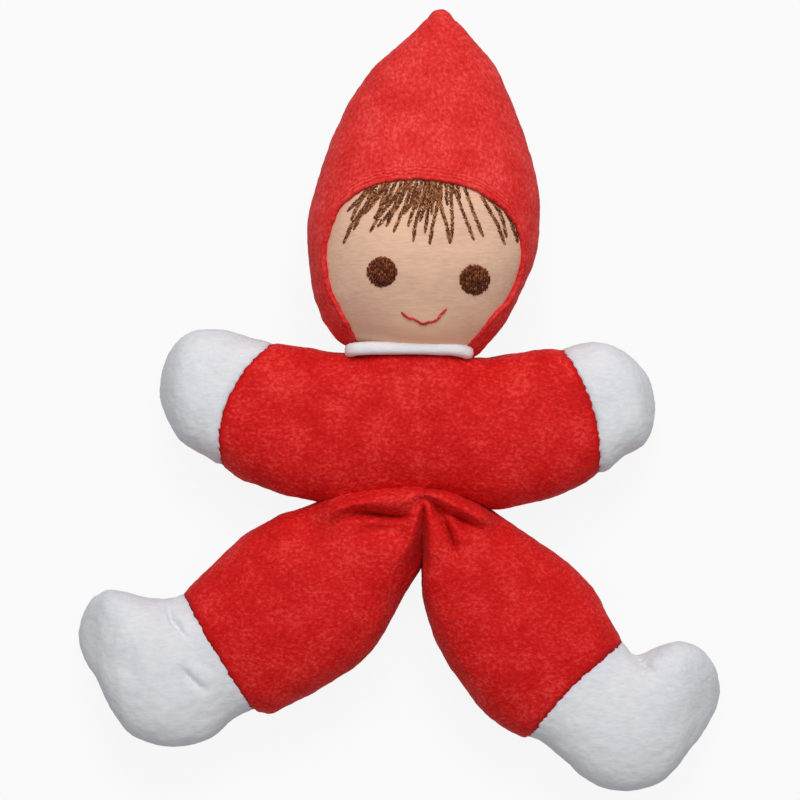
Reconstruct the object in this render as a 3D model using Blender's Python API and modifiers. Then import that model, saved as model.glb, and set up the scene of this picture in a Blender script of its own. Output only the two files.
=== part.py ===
"""A soft stuffed cloth doll with a pointed hood, lying on its back.

Metres. X runs to the right as it is looked at from above, Y from the
feet to the tip of the hood, Z up from the surface that it lies on. "left" and "right"
are the viewer's, as the doll is seen from above. The origin is on the rest surface,
under the middle of the torso.

The covers are velour shells over separate fillings. The arms, the legs and the head
are stuffed pillows with rounded roots, which turn in the soft sockets of the torso.
"""

import math

import bmesh
import bpy
from mathutils import Matrix, Vector
from mathutils.bvhtree import BVHTree

# Cloth, thread and the gaps between neighbours
VELOUR = 0.0015
FACE_KNIT = 0.0010
GAP = 0.0003
REST_CUT = 0.0005
SOCKET_GAP = 0.0007
THREAD_RADIUS = 0.00042

# The torso: height is along Y, depth along Z
TORSO_HEIGHT = 0.0486
TORSO_DEPTH = 0.0380
TORSO_WIDTH = 0.0500
TORSO_CENTRE_Y = -0.0019

# Arms and hands
SHOULDER_X = 0.0300
SHOULDER_Y = -0.0012
ARM_WIDTH = 0.0456
ARM_DEPTH = 0.0348
ARM_LENGTH = {"left": 0.0548, "right": 0.0478}
ARM_RAISE = {"left": 18.0, "right": 14.0}
WRIST_BULGE_RADIUS = 0.0380
WRIST_BULGE = 0.0057

# Legs and feet, and the hollow of the torso that the legs turn in
LEG_WIDTH = 0.0560
LEG_DEPTH = 0.0380
LEG_LENGTH = {"left": 0.0757, "right": 0.0713}
LEG_SPLAY = {"left": 31.0, "right": 46.0}
LEG_START_Y = -0.0334
PARTING_X = 0.0012
HIP_SHARE = 0.391
HIP_RADIUS = HIP_SHARE * LEG_WIDTH
HIP_Y = -0.0420
FOOT_LENGTH = 0.0515
FOOT_WIDTH = 0.0486
FOOT_DEPTH = 0.0335
TOE_TURN = 49.0

# The head with its hood, in a frame of its own: across, and along from neck to tip
NECK_X = -0.0025
NECK_Y = 0.0270
NECK_Z = 0.0210
HEAD_TILT = 5.0
HEAD_WIDTH = 0.0764
HEAD_DEPTH = 0.0580
HOOD_HEIGHT = 0.1020
HOOD_SEAM_Z = 0.0205
TIP_WIDTH = 0.0074
TIP_HEIGHT = 0.0048

# Places along the head, in shares of the hood's height, so that the face stays on the head
OPENING_WIDEST_SHARE = 0.2843
OPENING_TOP_SHARE = 0.5127
OPENING_FOOT_SHARE = -0.0451
EYE_LINE_SHARE = 0.2137
MOUTH_LINE_SHARE = 0.0627
HAIR_FALL_SHARE = 0.3920

# The face and its opening in the hood
FACE_CENTRE_ACROSS = 0.0021
OPENING_WIDTH = 0.0620
OPENING_WIDEST = OPENING_WIDEST_SHARE * HOOD_HEIGHT
OPENING_TOP = OPENING_TOP_SHARE * HOOD_HEIGHT
OPENING_FOOT = OPENING_FOOT_SHARE * HOOD_HEIGHT
HEM_RADIUS = 0.0011
HEM_END = 0.0010
FACE_MARGIN = 0.0050
EYE_RADIUS = 0.0048
EYE_LINE = EYE_LINE_SHARE * HOOD_HEIGHT
EYE_ACROSS = {"left": -0.0110, "right": 0.0188}
EYE_THREAD = 0.0007
MOUTH_CENTRE_ACROSS = 0.0034
MOUTH_LINE = MOUTH_LINE_SHARE * HOOD_HEIGHT
MOUTH_WIDTH = 0.0138
MOUTH_RISE = 0.0040
HAIR_ROOT_INSET = 0.0016
HAIR_FALL = HAIR_FALL_SHARE * HOOD_HEIGHT

# The collar and the neck that it hides
COLLAR_WIDTH = 0.0406
COLLAR_DEPTH = 0.0270
COLLAR_RADIUS = 0.00215
NECK_PLUG_LENGTH = 0.0025
NECK_PLUG_CLEARANCE = 0.0014

# The thread that gathers the legs to the torso
STITCH_X = 0.0012
STITCH_Y = -0.0195
STITCH_WIDTH = 0.0050
STITCH_SPACING = 0.0020
STITCH_COUNT = 3

CUTTER_REACH = 0.3000

# Cages: points round a ring, and how much wider a cage is than the form it makes
RING_POINTS = 8
SWELL_SHARE = 4.0 / (3.0 + math.cos(2.0 * math.pi / RING_POINTS))
LIMB_SQUARENESS = 2.2
TORSO_SQUARENESS = 2.9
HEAD_SQUARENESS = 2.1

# Sections of the head: along, half width, half depth, height of the axis, lean to the right
HEAD_SHARES = (
    (0.000, 0.58, 0.20, 0.74, -0.02),
    (0.022, 0.71, 0.44, 0.77, -0.02),
    (0.080, 0.82, 0.76, 0.86, -0.01),
    (0.180, 0.92, 0.94, 0.95, 0.00),
    (0.300, 1.00, 1.00, 0.98, 0.02),
    (0.430, 0.99, 1.00, 0.98, 0.03),
    (0.560, 0.92, 0.92, 0.92, 0.04),
    (0.690, 0.80, 0.76, 0.84, 0.03),
    (0.810, 0.64, 0.57, 0.78, 0.03),
    (0.905, 0.45, 0.40, 0.76, 0.04),
    (0.970, 0.25, 0.24, 0.76, 0.05),
    (0.998, 0.12, 0.13, 0.76, 0.05),
)
# Sections of the torso: along X, half height, half depth
TORSO_SHARES = (
    (-1.40, 0.86, 0.86),
    (-1.15, 0.985, 0.985),
    (-0.60, 0.99, 0.99),
    (0.00, 1.00, 1.00),
    (0.60, 0.99, 0.99),
    (1.15, 0.985, 0.985),
    (1.40, 0.86, 0.86),
)
# The rounded root of an arm, in shares of its own radius: along, width and depth
ROOT_SHARES = ((-0.97, 0.22), (-0.84, 0.53), (-0.50, 0.85), (0.00, 0.985))
# From the shoulder on: step, turn so far, half width, half depth, height of the axis
ARM_SHARES = (
    (0.24, 0.80, 1.00, 1.00, 1.00),
    (0.24, 1.00, 0.93, 0.95, 0.95),
    (0.21, 1.25, 0.95, 0.93, 0.93),
    (0.18, 1.35, 0.83, 0.80, 0.88),
    (0.11, 1.40, 0.42, 0.40, 0.88),
)
# A leg from the gather between the legs to the ankle: how far along, turn of the
# section, half width, half depth, height of the axis
LEG_SHARES = (
    (0.000, 0.00, 0.40, 0.50, 1.00),
    (0.045, 0.10, 0.55, 0.74, 1.00),
    (0.130, 0.24, 0.70, 0.92, 1.00),
    (0.275, 0.38, 0.86, 1.00, 1.00),
    (0.420, 0.50, 0.94, 1.00, 1.00),
    (0.590, 0.57, 0.99, 0.99, 0.99),
    (0.740, 0.63, 1.00, 0.97, 0.97),
    (0.863, 0.74, 0.93, 0.93, 0.93),
    (1.000, 1.00, 0.80, 0.86, 0.88),
)
# A foot from the ankle to the toe: step, turn of the step, turn of the section,
# half width, half depth, height of the axis
FOOT_SHARES = (
    (0.155, 0.10, 0.16, 0.90, 0.97, 0.98),
    (0.175, 0.12, 0.37, 0.97, 1.00, 1.00),
    (0.175, 0.72, 0.60, 0.99, 1.00, 1.00),
    (0.190, 1.20, 0.77, 0.87, 0.95, 0.97),
    (0.165, 1.55, 0.87, 0.63, 0.78, 0.92),
    (0.115, 1.50, 0.95, 0.34, 0.45, 0.90),
)
# A strand of hair in shares of the opening above its widest place: where the tip is
# across, how far the tip is down, and where the root is across
HAIR_SHARES = (
    (-0.820, 0.31, -0.760), (-0.830, 0.57, -0.670), (-0.730, 0.46, -0.600), (-0.635, 0.32, -0.540),
    (-0.560, 0.46, -0.470), (-0.500, 0.41, -0.410), (-0.410, 0.41, -0.340), (-0.335, 0.45, -0.275),
    (-0.250, 0.29, -0.210), (-0.190, 0.39, -0.155), (-0.120, 0.51, -0.100), (-0.065, 0.34, -0.045),
    (-0.010, 0.43, 0.010), (0.050, 0.52, 0.065), (0.250, 0.49, 0.140), (0.490, 0.46, 0.310),
    (0.585, 0.42, 0.440), (0.800, 0.47, 0.580), (0.920, 0.45, 0.720),
)
# Where a strand bends along its length, and how thick it is there
STRAND_SHARES = ((0.0, 1.0), (0.4, 1.0), (0.75, 0.9), (1.0, 0.5))
MOUTH_SHARES = ((-1.0, 0.70), (-0.72, 0.34), (-0.38, 0.22), (0.0, 0.0), (0.40, 0.24),
                (0.74, 0.72), (1.0, 1.22))

RED = (0.72, 0.03, 0.022)
WHITE = (0.80, 0.82, 0.84)
PEACH = (0.74, 0.46, 0.30)
BROWN = (0.13, 0.045, 0.015)
DARK_RED = (0.35, 0.015, 0.02)
FILLING = (0.86, 0.85, 0.82)


def clear_scene():
    """Removes everything that the file was opened with."""
    for old in list(bpy.data.objects):
        bpy.data.objects.remove(old, do_unlink=True)


def collection(name):
    """A new collection in the scene."""
    made = bpy.data.collections.new(name)
    bpy.context.scene.collection.children.link(made)
    return made


def cloth(name, colour, roughness):
    """A Principled material for one kind of cloth or thread."""
    made = bpy.data.materials.new(name)
    made.use_nodes = True
    shader = made.node_tree.nodes["Principled BSDF"]
    shader.inputs["Base Color"].default_value = (*colour, 1.0)
    shader.inputs["Roughness"].default_value = roughness
    shader.inputs["Metallic"].default_value = 0.0
    return made


def heading_vector(degrees):
    """The direction in the plane of the rest surface, turned from +X."""
    angle = math.radians(degrees)
    return Vector((math.cos(angle), math.sin(angle), 0.0))


def ring_on(bm, centre, heading, half_width, half_depth, squareness):
    """One ring of a cage round a section that looks along heading: its points and edges."""
    across = heading_vector(heading - 90.0)
    ring = []
    for step in range(RING_POINTS):
        angle = 2.0 * math.pi * step / RING_POINTS
        side = math.copysign(abs(math.cos(angle)) ** (2.0 / squareness), math.cos(angle))
        rise = math.copysign(abs(math.sin(angle)) ** (2.0 / squareness), math.sin(angle))
        point = centre + across * (side * half_width * SWELL_SHARE)
        point.z += rise * half_depth * SWELL_SHARE
        ring.append(bm.verts.new(point))
    edges = [bm.edges.new(pair) for pair in zip(ring, ring[1:] + ring[:1])]
    return ring, edges


def pillow_cage(name, sections, squareness):
    """A closed cage through sections of centre, heading, half width and half depth."""
    bm = bmesh.new()
    rings = [ring_on(bm, *section, squareness) for section in sections]
    for (_, near), (_, far) in zip(rings, rings[1:]):
        bmesh.ops.bridge_loops(bm, edges=near + far)
    for points, _ in (rings[0], rings[-1]):
        bmesh.ops.contextual_create(bm, geom=points)
    bmesh.ops.recalc_face_normals(bm, faces=bm.faces)
    mesh = bpy.data.meshes.new(name)
    bm.to_mesh(mesh)
    bm.free()
    mesh.shade_smooth()
    return mesh


def place(name, data, target, material=None):
    """Links one object into a collection, with its material."""
    made = bpy.data.objects.new(name, data)
    target.objects.link(made)
    if material is not None:
        made.data.materials.clear()
        made.data.materials.append(material)
    return made


def rounded(item):
    """Rounds a coarse cage into a soft form."""
    soft = item.modifiers.new("soft form", "SUBSURF")
    soft.levels = 1
    soft.render_levels = 1


def drawn_in(item, depth):
    """Moves a form's surface inwards, to lie under a cover."""
    inset = item.modifiers.new("under the cover", "DISPLACE")
    inset.mid_level = 0.0
    inset.strength = -depth


def walled(item, thickness):
    """Turns a form into cloth of one thickness, measured inwards."""
    wall = item.modifiers.new("cloth", "SOLIDIFY")
    wall.thickness = thickness
    wall.offset = -1.0
    wall.use_even_offset = True


def cut(item, cutter, operation="DIFFERENCE"):
    """Cuts a piece with a cutter, or keeps what lies inside it."""
    change = item.modifiers.new(cutter.name, "BOOLEAN")
    change.operation = operation
    change.object = cutter
    change.solver = "EXACT"


def as_cutter(item):
    """Hides a cutter from the finished doll."""
    item.hide_render = True
    item.display_type = "WIRE"
    return item


def block(name, low, high, target, turn=None):
    """A box between two corners, turned about the frame that it is given in."""
    bm = bmesh.new()
    bmesh.ops.create_cube(bm, size=1.0)
    size = Vector(high) - Vector(low)
    middle = (Vector(high) + Vector(low)) * 0.5
    frame = Matrix.Translation(middle) @ Matrix.Diagonal((*size, 1.0))
    if turn is not None:
        frame = turn @ frame
    bmesh.ops.transform(bm, matrix=frame, verts=bm.verts)
    mesh = bpy.data.meshes.new(name)
    bm.to_mesh(mesh)
    bm.free()
    return place(name, mesh, target)


def ball(name, centre, radii, target, segments=24):
    """A ball or a flattened ball, with its scale in the mesh."""
    bm = bmesh.new()
    bmesh.ops.create_uvsphere(bm, u_segments=segments, v_segments=segments // 2, radius=1.0)
    frame = Matrix.Translation(centre) @ Matrix.Diagonal((*radii, 1.0))
    bmesh.ops.transform(bm, matrix=frame, verts=bm.verts)
    mesh = bpy.data.meshes.new(name)
    bm.to_mesh(mesh)
    bm.free()
    mesh.shade_smooth()
    return place(name, mesh, target)


def drum(name, radii, length, frame, target, segments=24):
    """A round or oval drum along the Z axis of the frame that it is given in."""
    bm = bmesh.new()
    bmesh.ops.create_cone(bm, cap_ends=True, segments=segments, radius1=1.0, radius2=1.0, depth=1.0)
    bmesh.ops.transform(bm, matrix=frame @ Matrix.Diagonal((*radii, length, 1.0)), verts=bm.verts)
    mesh = bpy.data.meshes.new(name)
    bm.to_mesh(mesh)
    bm.free()
    return place(name, mesh, target)


def head_frame():
    """From across, along and height above the neck's axis to the doll's frame."""
    tilt = Matrix.Rotation(math.radians(-HEAD_TILT), 4, "Z")
    return Matrix.Translation((NECK_X, NECK_Y, 0.0)) @ tilt


def head_point(across, along, height=0.0):
    """A point of the head's own frame, in the doll's frame."""
    return head_frame() @ Vector((across, along, height))


def opening_outline(grow, points):
    """The egg-shaped opening of the hood, from its foot round the left side and back."""
    half_width = OPENING_WIDTH / 2.0 + grow
    up = OPENING_TOP - OPENING_WIDEST + grow
    down = OPENING_WIDEST - OPENING_FOOT + grow
    outline = []
    for step in range(points):
        angle = 2.0 * math.pi * step / points
        reach = up if math.cos(angle) < 0.0 else down
        along = OPENING_WIDEST - reach * math.cos(angle)
        lean = min(1.0, max(0.0, along / OPENING_WIDEST))
        outline.append((FACE_CENTRE_ACROSS * lean - half_width * math.sin(angle), along))
    return outline


def prism(name, outline, target):
    """A tall prism through the front of the head, from an outline in its frame."""
    curve = bpy.data.curves.new(name, "CURVE")
    curve.dimensions = "2D"
    curve.fill_mode = "BOTH"
    curve.extrude = CUTTER_REACH / 2.0
    spline = curve.splines.new("POLY")
    spline.points.add(len(outline) - 1)
    for point, (across, along) in zip(spline.points, outline):
        point.co = (across, along, 0.0, 1.0)
    spline.use_cyclic_u = True
    drawn = place(name + "_curve", curve, target)
    drawn.matrix_world = head_frame() @ Matrix.Translation((0.0, 0.0, CUTTER_REACH / 2.0 + HOOD_SEAM_Z))
    return meshed(drawn, name, target)


def meshed(drawn, name, target):
    """Makes a curve a welded mesh object and removes the curve."""
    bpy.context.view_layer.update()
    graph = bpy.context.evaluated_depsgraph_get()
    mesh = bpy.data.meshes.new_from_object(drawn.evaluated_get(graph))
    bm = bmesh.new()
    bm.from_mesh(mesh)
    bmesh.ops.remove_doubles(bm, verts=bm.verts, dist=GAP / 100.0)
    bmesh.ops.transform(bm, matrix=drawn.matrix_world, verts=bm.verts)
    bmesh.ops.recalc_face_normals(bm, faces=bm.faces)
    bm.to_mesh(mesh)
    bm.free()
    mesh.name = name
    bpy.data.objects.remove(drawn, do_unlink=True)
    return place(name, mesh, target)


def thread(name, points, radii, material, target, closed=False, sides=1):
    """A round thread or roll along points, with filled ends."""
    curve = bpy.data.curves.new(name, "CURVE")
    curve.dimensions = "3D"
    curve.bevel_depth = 1.0
    curve.bevel_resolution = sides
    curve.use_fill_caps = not closed
    spline = curve.splines.new("POLY")
    spline.points.add(len(points) - 1)
    for point, co, radius in zip(spline.points, points, radii):
        point.co = (*co, 1.0)
        point.radius = radius
    spline.use_cyclic_u = closed
    return place(name, curve, target, material)


def surface_of(item):
    """The evaluated surface of an object, to place other pieces on."""
    bpy.context.view_layer.update()
    graph = bpy.context.evaluated_depsgraph_get()
    return BVHTree.FromObject(item, graph)


def resting_on(tree, spot, lift):
    """The place above a surface, seen from above, a stated distance off it."""
    hit = tree.ray_cast(Vector((spot.x, spot.y, CUTTER_REACH)), Vector((0.0, 0.0, -1.0)))
    return hit[0] + hit[1] * lift


# The head, its hood and the embroidered face


def head_sections():
    """Sections of the head with its hood, from the neck to the tip."""
    sections = []
    for along, width, depth, height, lean in HEAD_SHARES:
        centre = head_point(lean * HEAD_WIDTH / 2.0, along * HOOD_HEIGHT)
        centre.z = height * HEAD_DEPTH / 2.0 - REST_CUT
        sections.append((centre, 90.0 - HEAD_TILT, width * HEAD_WIDTH / 2.0, depth * HEAD_DEPTH / 2.0))
    return sections


def make_head(parts, cutters, materials, floor):
    """The stuffed head: filling, face, hood, hem and tip."""
    cage = pillow_cage("head_form", head_sections(), HEAD_SQUARENESS)
    frame = head_frame()
    below_neck = as_cutter(block(
        "below_neck", (-CUTTER_REACH, -CUTTER_REACH, -CUTTER_REACH),
        (CUTTER_REACH, 0.0, CUTTER_REACH), cutters, frame))
    behind_seam = as_cutter(block(
        "behind_seam", (-CUTTER_REACH, -CUTTER_REACH, -CUTTER_REACH),
        (CUTTER_REACH, CUTTER_REACH, HOOD_SEAM_Z + GAP / 2.0), cutters))
    before_seam = as_cutter(block(
        "before_seam", (-CUTTER_REACH, -CUTTER_REACH, HOOD_SEAM_Z - GAP / 2.0),
        (CUTTER_REACH, CUTTER_REACH, CUTTER_REACH), cutters))
    face_area = as_cutter(prism("face_area", opening_outline(FACE_MARGIN, 40), cutters))

    face = place("face_panel", cage.copy(), parts, materials["peach"])
    rounded(face)
    drawn_in(face, VELOUR + GAP)
    face_surface = surface_of(face)
    walled(face, FACE_KNIT)
    for cutter in (behind_seam, below_neck):
        cut(face, cutter)
    cut(face, face_area, "INTERSECT")

    inside_hem, hem_way = make_hem(parts, cutters, materials, face_surface)

    hood_front = place("hood_front", cage.copy(), parts, materials["red"])
    rounded(hood_front)
    walled(hood_front, VELOUR)
    for cutter in (behind_seam, below_neck, inside_hem, hem_way):
        cut(hood_front, cutter)

    hood_back = place("hood_back", cage.copy(), parts, materials["red"])
    rounded(hood_back)
    walled(hood_back, VELOUR)
    for cutter in (before_seam, below_neck, floor):
        cut(hood_back, cutter)

    filling = place("head_filling", cage.copy(), parts, materials["filling"])
    rounded(filling)
    drawn_in(filling, VELOUR + FACE_KNIT + 2.0 * GAP)
    cut(filling, below_neck)

    make_eyes(cage, parts, cutters, materials)

    tip_centre = head_point(HEAD_SHARES[-1][4] * HEAD_WIDTH / 2.0, HOOD_HEIGHT + GAP + TIP_HEIGHT / 2.0)
    tip_centre.z = HEAD_SHARES[-1][3] * HEAD_DEPTH / 2.0 - REST_CUT
    tip = ball("hood_tip", (0.0, 0.0, 0.0), (TIP_WIDTH / 2.0, TIP_HEIGHT / 2.0, TIP_WIDTH / 2.0), parts, 12)
    tip.matrix_world = Matrix.Translation(tip_centre) @ Matrix.Rotation(math.radians(-HEAD_TILT), 4, "Z")
    tip.data.materials.append(materials["red"])
    return face_surface


def round_the_opening(face_surface, lift):
    """Points over the line of the hem, a stated distance off the face."""
    return [resting_on(face_surface, head_point(across, along), lift)
            for across, along in opening_outline(HEM_RADIUS, 48) if along > HEM_RADIUS + HEM_END]


def make_hem(parts, cutters, materials, face_surface):
    """The turned edge of the hood on the face, and the cutters that make room for it."""
    line = round_the_opening(face_surface, GAP + HEM_RADIUS)
    thread("hood_hem", line, [HEM_RADIUS] * len(line), materials["red"], parts)

    to_head = head_frame().inverted()
    outline = [tuple((to_head @ point).xy) for point in round_the_opening(face_surface, GAP + VELOUR)]
    feet = [(outline[-1][0], -HEM_END), (outline[0][0], -HEM_END)]
    opening = as_cutter(prism("inside_hem", outline + feet, cutters))

    ends = [head_point(*foot, point.z) for foot, point in zip(feet, (line[-1], line[0]))]
    line = [ends[1]] + line + [ends[0]]
    way = thread("hem_way_curve", line, [HEM_RADIUS + GAP] * len(line), None, cutters)
    return opening, as_cutter(meshed(way, "hem_way", cutters))


def make_eyes(cage, parts, cutters, materials):
    """The embroidered discs of the eyes, which follow the face under them."""
    for side, across in EYE_ACROSS.items():
        frame = head_frame() @ Matrix.Translation((across, EYE_LINE, CUTTER_REACH / 2.0 + HOOD_SEAM_Z))
        area = drum("eye_area_" + side, (EYE_RADIUS, EYE_RADIUS), CUTTER_REACH, frame, cutters, 20)
        eye = place("eye_" + side, cage.copy(), parts, materials["brown"])
        rounded(eye)
        drawn_in(eye, VELOUR - EYE_THREAD)
        walled(eye, EYE_THREAD)
        cut(eye, as_cutter(area), "INTERSECT")


def make_mouth(parts, materials, face_surface):
    """The stitched smile."""
    points = []
    for across, rise in MOUTH_SHARES:
        spot = head_point(MOUTH_CENTRE_ACROSS + across * MOUTH_WIDTH / 2.0, MOUTH_LINE + rise * MOUTH_RISE)
        points.append(resting_on(face_surface, spot, GAP + THREAD_RADIUS))
    thread("mouth", points, [THREAD_RADIUS] * len(points), materials["dark red"], parts)


def make_hair(parts, materials, face_surface):
    """The strands of the fringe, stitched from the hood's edge down."""
    half_width = OPENING_WIDTH / 2.0
    height = OPENING_TOP - OPENING_WIDEST
    for number, (tip_across, down, root_across) in enumerate(HAIR_SHARES, 1):
        root = Vector((root_across * half_width, OPENING_WIDEST - HAIR_ROOT_INSET))
        root.y += height * math.sqrt(1.0 - root_across * root_across)
        tip = Vector((tip_across * half_width, OPENING_TOP - down * HAIR_FALL))
        points = []
        radii = []
        for along, thickness in STRAND_SHARES:
            spot = root.lerp(tip, along)
            spot = head_point(FACE_CENTRE_ACROSS + spot.x, spot.y)
            points.append(resting_on(face_surface, spot, GAP + THREAD_RADIUS))
            radii.append(THREAD_RADIUS * thickness)
        thread(f"hair_strand_{number:02d}", points, radii, materials["brown"], parts, sides=0)


# The neck and the collar


def oval_points(half_width, half_depth, along, points=28):
    """Points of an oval that lies square to the neck."""
    oval = []
    for step in range(points):
        angle = 2.0 * math.pi * step / points
        spot = head_point(half_width * math.cos(angle), along)
        spot.z = NECK_Z + half_depth * math.sin(angle)
        oval.append(spot)
    return oval


def neck_drum_frame(low, high):
    """The frame of an oval drum along the neck, between two places."""
    along = head_frame() @ Matrix.Translation((0.0, (low + high) / 2.0, NECK_Z))
    return along @ Matrix.Rotation(math.radians(-90.0), 4, "X")


def make_neck(parts, cutters, materials):
    """The collar roll, and the gathered neck with its thread inside it."""
    half_width = COLLAR_WIDTH / 2.0 - COLLAR_RADIUS
    half_depth = COLLAR_DEPTH / 2.0 - COLLAR_RADIUS
    collar_along = -GAP - COLLAR_RADIUS
    collar = oval_points(half_width, half_depth, collar_along)
    radii = [COLLAR_RADIUS] * len(collar)
    thread("collar_band", collar, radii, materials["white"], parts, closed=True, sides=2)

    inner = COLLAR_RADIUS + NECK_PLUG_CLEARANCE
    plug_low = -GAP - NECK_PLUG_LENGTH
    plug = drum("neck_core", (half_width - inner, half_depth - inner), NECK_PLUG_LENGTH,
                neck_drum_frame(plug_low, -GAP), parts, 28)
    plug.data.materials.append(materials["peach"])

    tie_radius = THREAD_RADIUS
    reach = GAP + tie_radius - inner
    tie = oval_points(half_width + reach, half_depth + reach, (plug_low - GAP) / 2.0)
    thread("neck_tie", tie, [tie_radius] * len(tie), materials["white thread"], parts, closed=True, sides=0)

    seat_low = -2.0 * GAP - 2.0 * COLLAR_RADIUS
    seat = drum("collar_seat", (COLLAR_WIDTH / 2.0 + GAP, COLLAR_DEPTH / 2.0 + GAP), CUTTER_REACH,
                neck_drum_frame(seat_low, seat_low + CUTTER_REACH), cutters)
    hole_low = plug_low - 2.0 * NECK_PLUG_CLEARANCE
    hole = drum("neck_hole", (half_width - COLLAR_RADIUS, half_depth - COLLAR_RADIUS), CUTTER_REACH,
                neck_drum_frame(hole_low, hole_low + CUTTER_REACH), cutters)
    return as_cutter(seat), as_cutter(hole)


# The torso, which carries the arms and the legs


def torso_axis_z():
    """Height of the torso's middle above the rest surface."""
    return TORSO_DEPTH / 2.0 - REST_CUT


def arm_axis_z():
    """Height of an arm's middle above the rest surface."""
    return ARM_DEPTH / 2.0 - REST_CUT


def leg_axis_z():
    """Height of a leg's middle above the rest surface."""
    return LEG_DEPTH / 2.0 - REST_CUT


def hollow_cutters(name, inset, cutters):
    """Room for both arms and for the legs, from a stated distance around them."""
    made = []
    for side, sign in (("left", -1.0), ("right", 1.0)):
        centre = (sign * SHOULDER_X, SHOULDER_Y, arm_axis_z())
        radius = ARM_WIDTH / 2.0 + SOCKET_GAP + inset
        depth = ARM_DEPTH / 2.0 + SOCKET_GAP + inset
        made.append(as_cutter(ball(f"{name}_shoulder_{side}", centre, (radius, radius, depth), cutters)))
    radius = HIP_RADIUS + SOCKET_GAP + inset
    along_x = Matrix.Translation((0.0, HIP_Y, leg_axis_z())) @ Matrix.Rotation(math.radians(90.0), 4, "Y")
    made.append(as_cutter(drum(name + "_hips", (radius, radius), CUTTER_REACH, along_x, cutters)))
    return made


def make_torso(parts, cutters, materials, collar_seat, neck_hole):
    """The two front panels of the torso, its back panel, and the filling in them."""
    sections = [
        (Vector((along * TORSO_WIDTH / 2.0, TORSO_CENTRE_Y, torso_axis_z())), 0.0,
         height * TORSO_HEIGHT / 2.0, depth * TORSO_DEPTH / 2.0)
        for along, height, depth in TORSO_SHARES
    ]
    cage = pillow_cage("torso_form", sections, TORSO_SQUARENESS)
    half_width = TORSO_WIDTH / 2.0
    outside = hollow_cutters("outside", 0.0, cutters)

    hollow = place("torso_hollow", cage.copy(), cutters)
    rounded(hollow)
    drawn_in(hollow, VELOUR)
    for cutter in hollow_cutters("hollow", VELOUR, cutters):
        cut(hollow, cutter)
    as_cutter(hollow)

    seam_front = torso_axis_z() + GAP / 2.0
    seam_back = torso_axis_z() - GAP / 2.0
    panels = (
        ("torso_front_left", (-half_width, seam_front), (-GAP / 2.0, CUTTER_REACH)),
        ("torso_front_right", (GAP / 2.0, seam_front), (half_width, CUTTER_REACH)),
        ("torso_back", (-half_width, 0.0), (half_width, seam_back)),
    )
    surface = None
    for name, (low_x, low_z), (high_x, high_z) in panels:
        area = as_cutter(block(
            name + "_area", (low_x, -CUTTER_REACH, low_z), (high_x, CUTTER_REACH, high_z), cutters))
        panel = place(name, cage.copy(), parts, materials["red"])
        rounded(panel)
        if surface is None:
            surface = surface_of(panel)
        cut(panel, area, "INTERSECT")
        for cutter in (*outside, hollow, collar_seat, neck_hole):
            cut(panel, cutter)

    filling = place("torso_filling", cage, parts, materials["filling"])
    rounded(filling)
    drawn_in(filling, VELOUR + GAP)
    middle = as_cutter(block(
        "torso_middle", (GAP - half_width, -CUTTER_REACH, -CUTTER_REACH),
        (half_width - GAP, CUTTER_REACH, CUTTER_REACH), cutters))
    cut(filling, middle, "INTERSECT")
    for cutter in (*hollow_cutters("filling", VELOUR + GAP, cutters), neck_hole):
        cut(filling, cutter)
    return surface


def make_stitches(parts, materials, torso_surface):
    """The thread that gathers the legs at the foot of the torso's seam."""
    points = []
    turns = 2 * STITCH_COUNT
    for step in range(turns):
        side = 0.5 if step % 4 in (1, 2) else -0.5
        x = STITCH_X + side * STITCH_WIDTH
        y = STITCH_Y + (step // 2) * STITCH_SPACING
        points.append(resting_on(torso_surface, Vector((x, y, 0.0)), GAP + THREAD_RADIUS))
    thread("hip_stitch", points, [THREAD_RADIUS] * len(points), materials["dark red"], parts)


# Arms with hands


def arm_sections(side):
    """Sections of an arm and its hand, from the rounded root to the finger end."""
    outward = 180.0 if side == "left" else 0.0
    raise_turn = -ARM_RAISE[side] if side == "left" else ARM_RAISE[side]
    x = -SHOULDER_X if side == "left" else SHOULDER_X
    centre = Vector((x, SHOULDER_Y, arm_axis_z()))
    radius = ARM_WIDTH / 2.0
    half_depth = ARM_DEPTH / 2.0
    sections = []
    for along, width in ROOT_SHARES:
        spot = centre + heading_vector(outward) * (along * radius)
        sections.append((spot, outward, width * radius, width * half_depth))
    for step, turn, width, depth, height in ARM_SHARES:
        heading = outward + turn * raise_turn
        centre = centre + heading_vector(heading) * (step * ARM_LENGTH[side])
        spot = centre.copy()
        spot.z = height * half_depth - REST_CUT
        sections.append((spot, heading, width * radius, depth * half_depth))
    return sections


def make_arm(side, parts, cutters, materials, floor):
    """One sleeve with its hand, and the filling through both."""
    sections = arm_sections(side)
    cage = pillow_cage("arm_form_" + side, sections, LIMB_SQUARENESS)
    wrist, heading = sections[len(ROOT_SHARES) + 1][:2]
    middle = wrist - heading_vector(heading) * (WRIST_BULGE_RADIUS - WRIST_BULGE)
    inside = as_cutter(ball("sleeve_end_" + side, middle, (WRIST_BULGE_RADIUS - GAP / 2.0,) * 3, cutters))
    outside = as_cutter(ball("hand_start_" + side, middle, (WRIST_BULGE_RADIUS + GAP / 2.0,) * 3, cutters))

    sleeve = place("sleeve_" + side, cage.copy(), parts, materials["red"])
    rounded(sleeve)
    walled(sleeve, VELOUR)
    cut(sleeve, inside, "INTERSECT")
    cut(sleeve, floor)

    hand = place("hand_" + side, cage.copy(), parts, materials["white"])
    rounded(hand)
    walled(hand, VELOUR)
    cut(hand, outside)
    cut(hand, floor)

    filling = place("arm_filling_" + side, cage, parts, materials["filling"])
    rounded(filling)
    drawn_in(filling, VELOUR + GAP)


# Legs with feet


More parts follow.
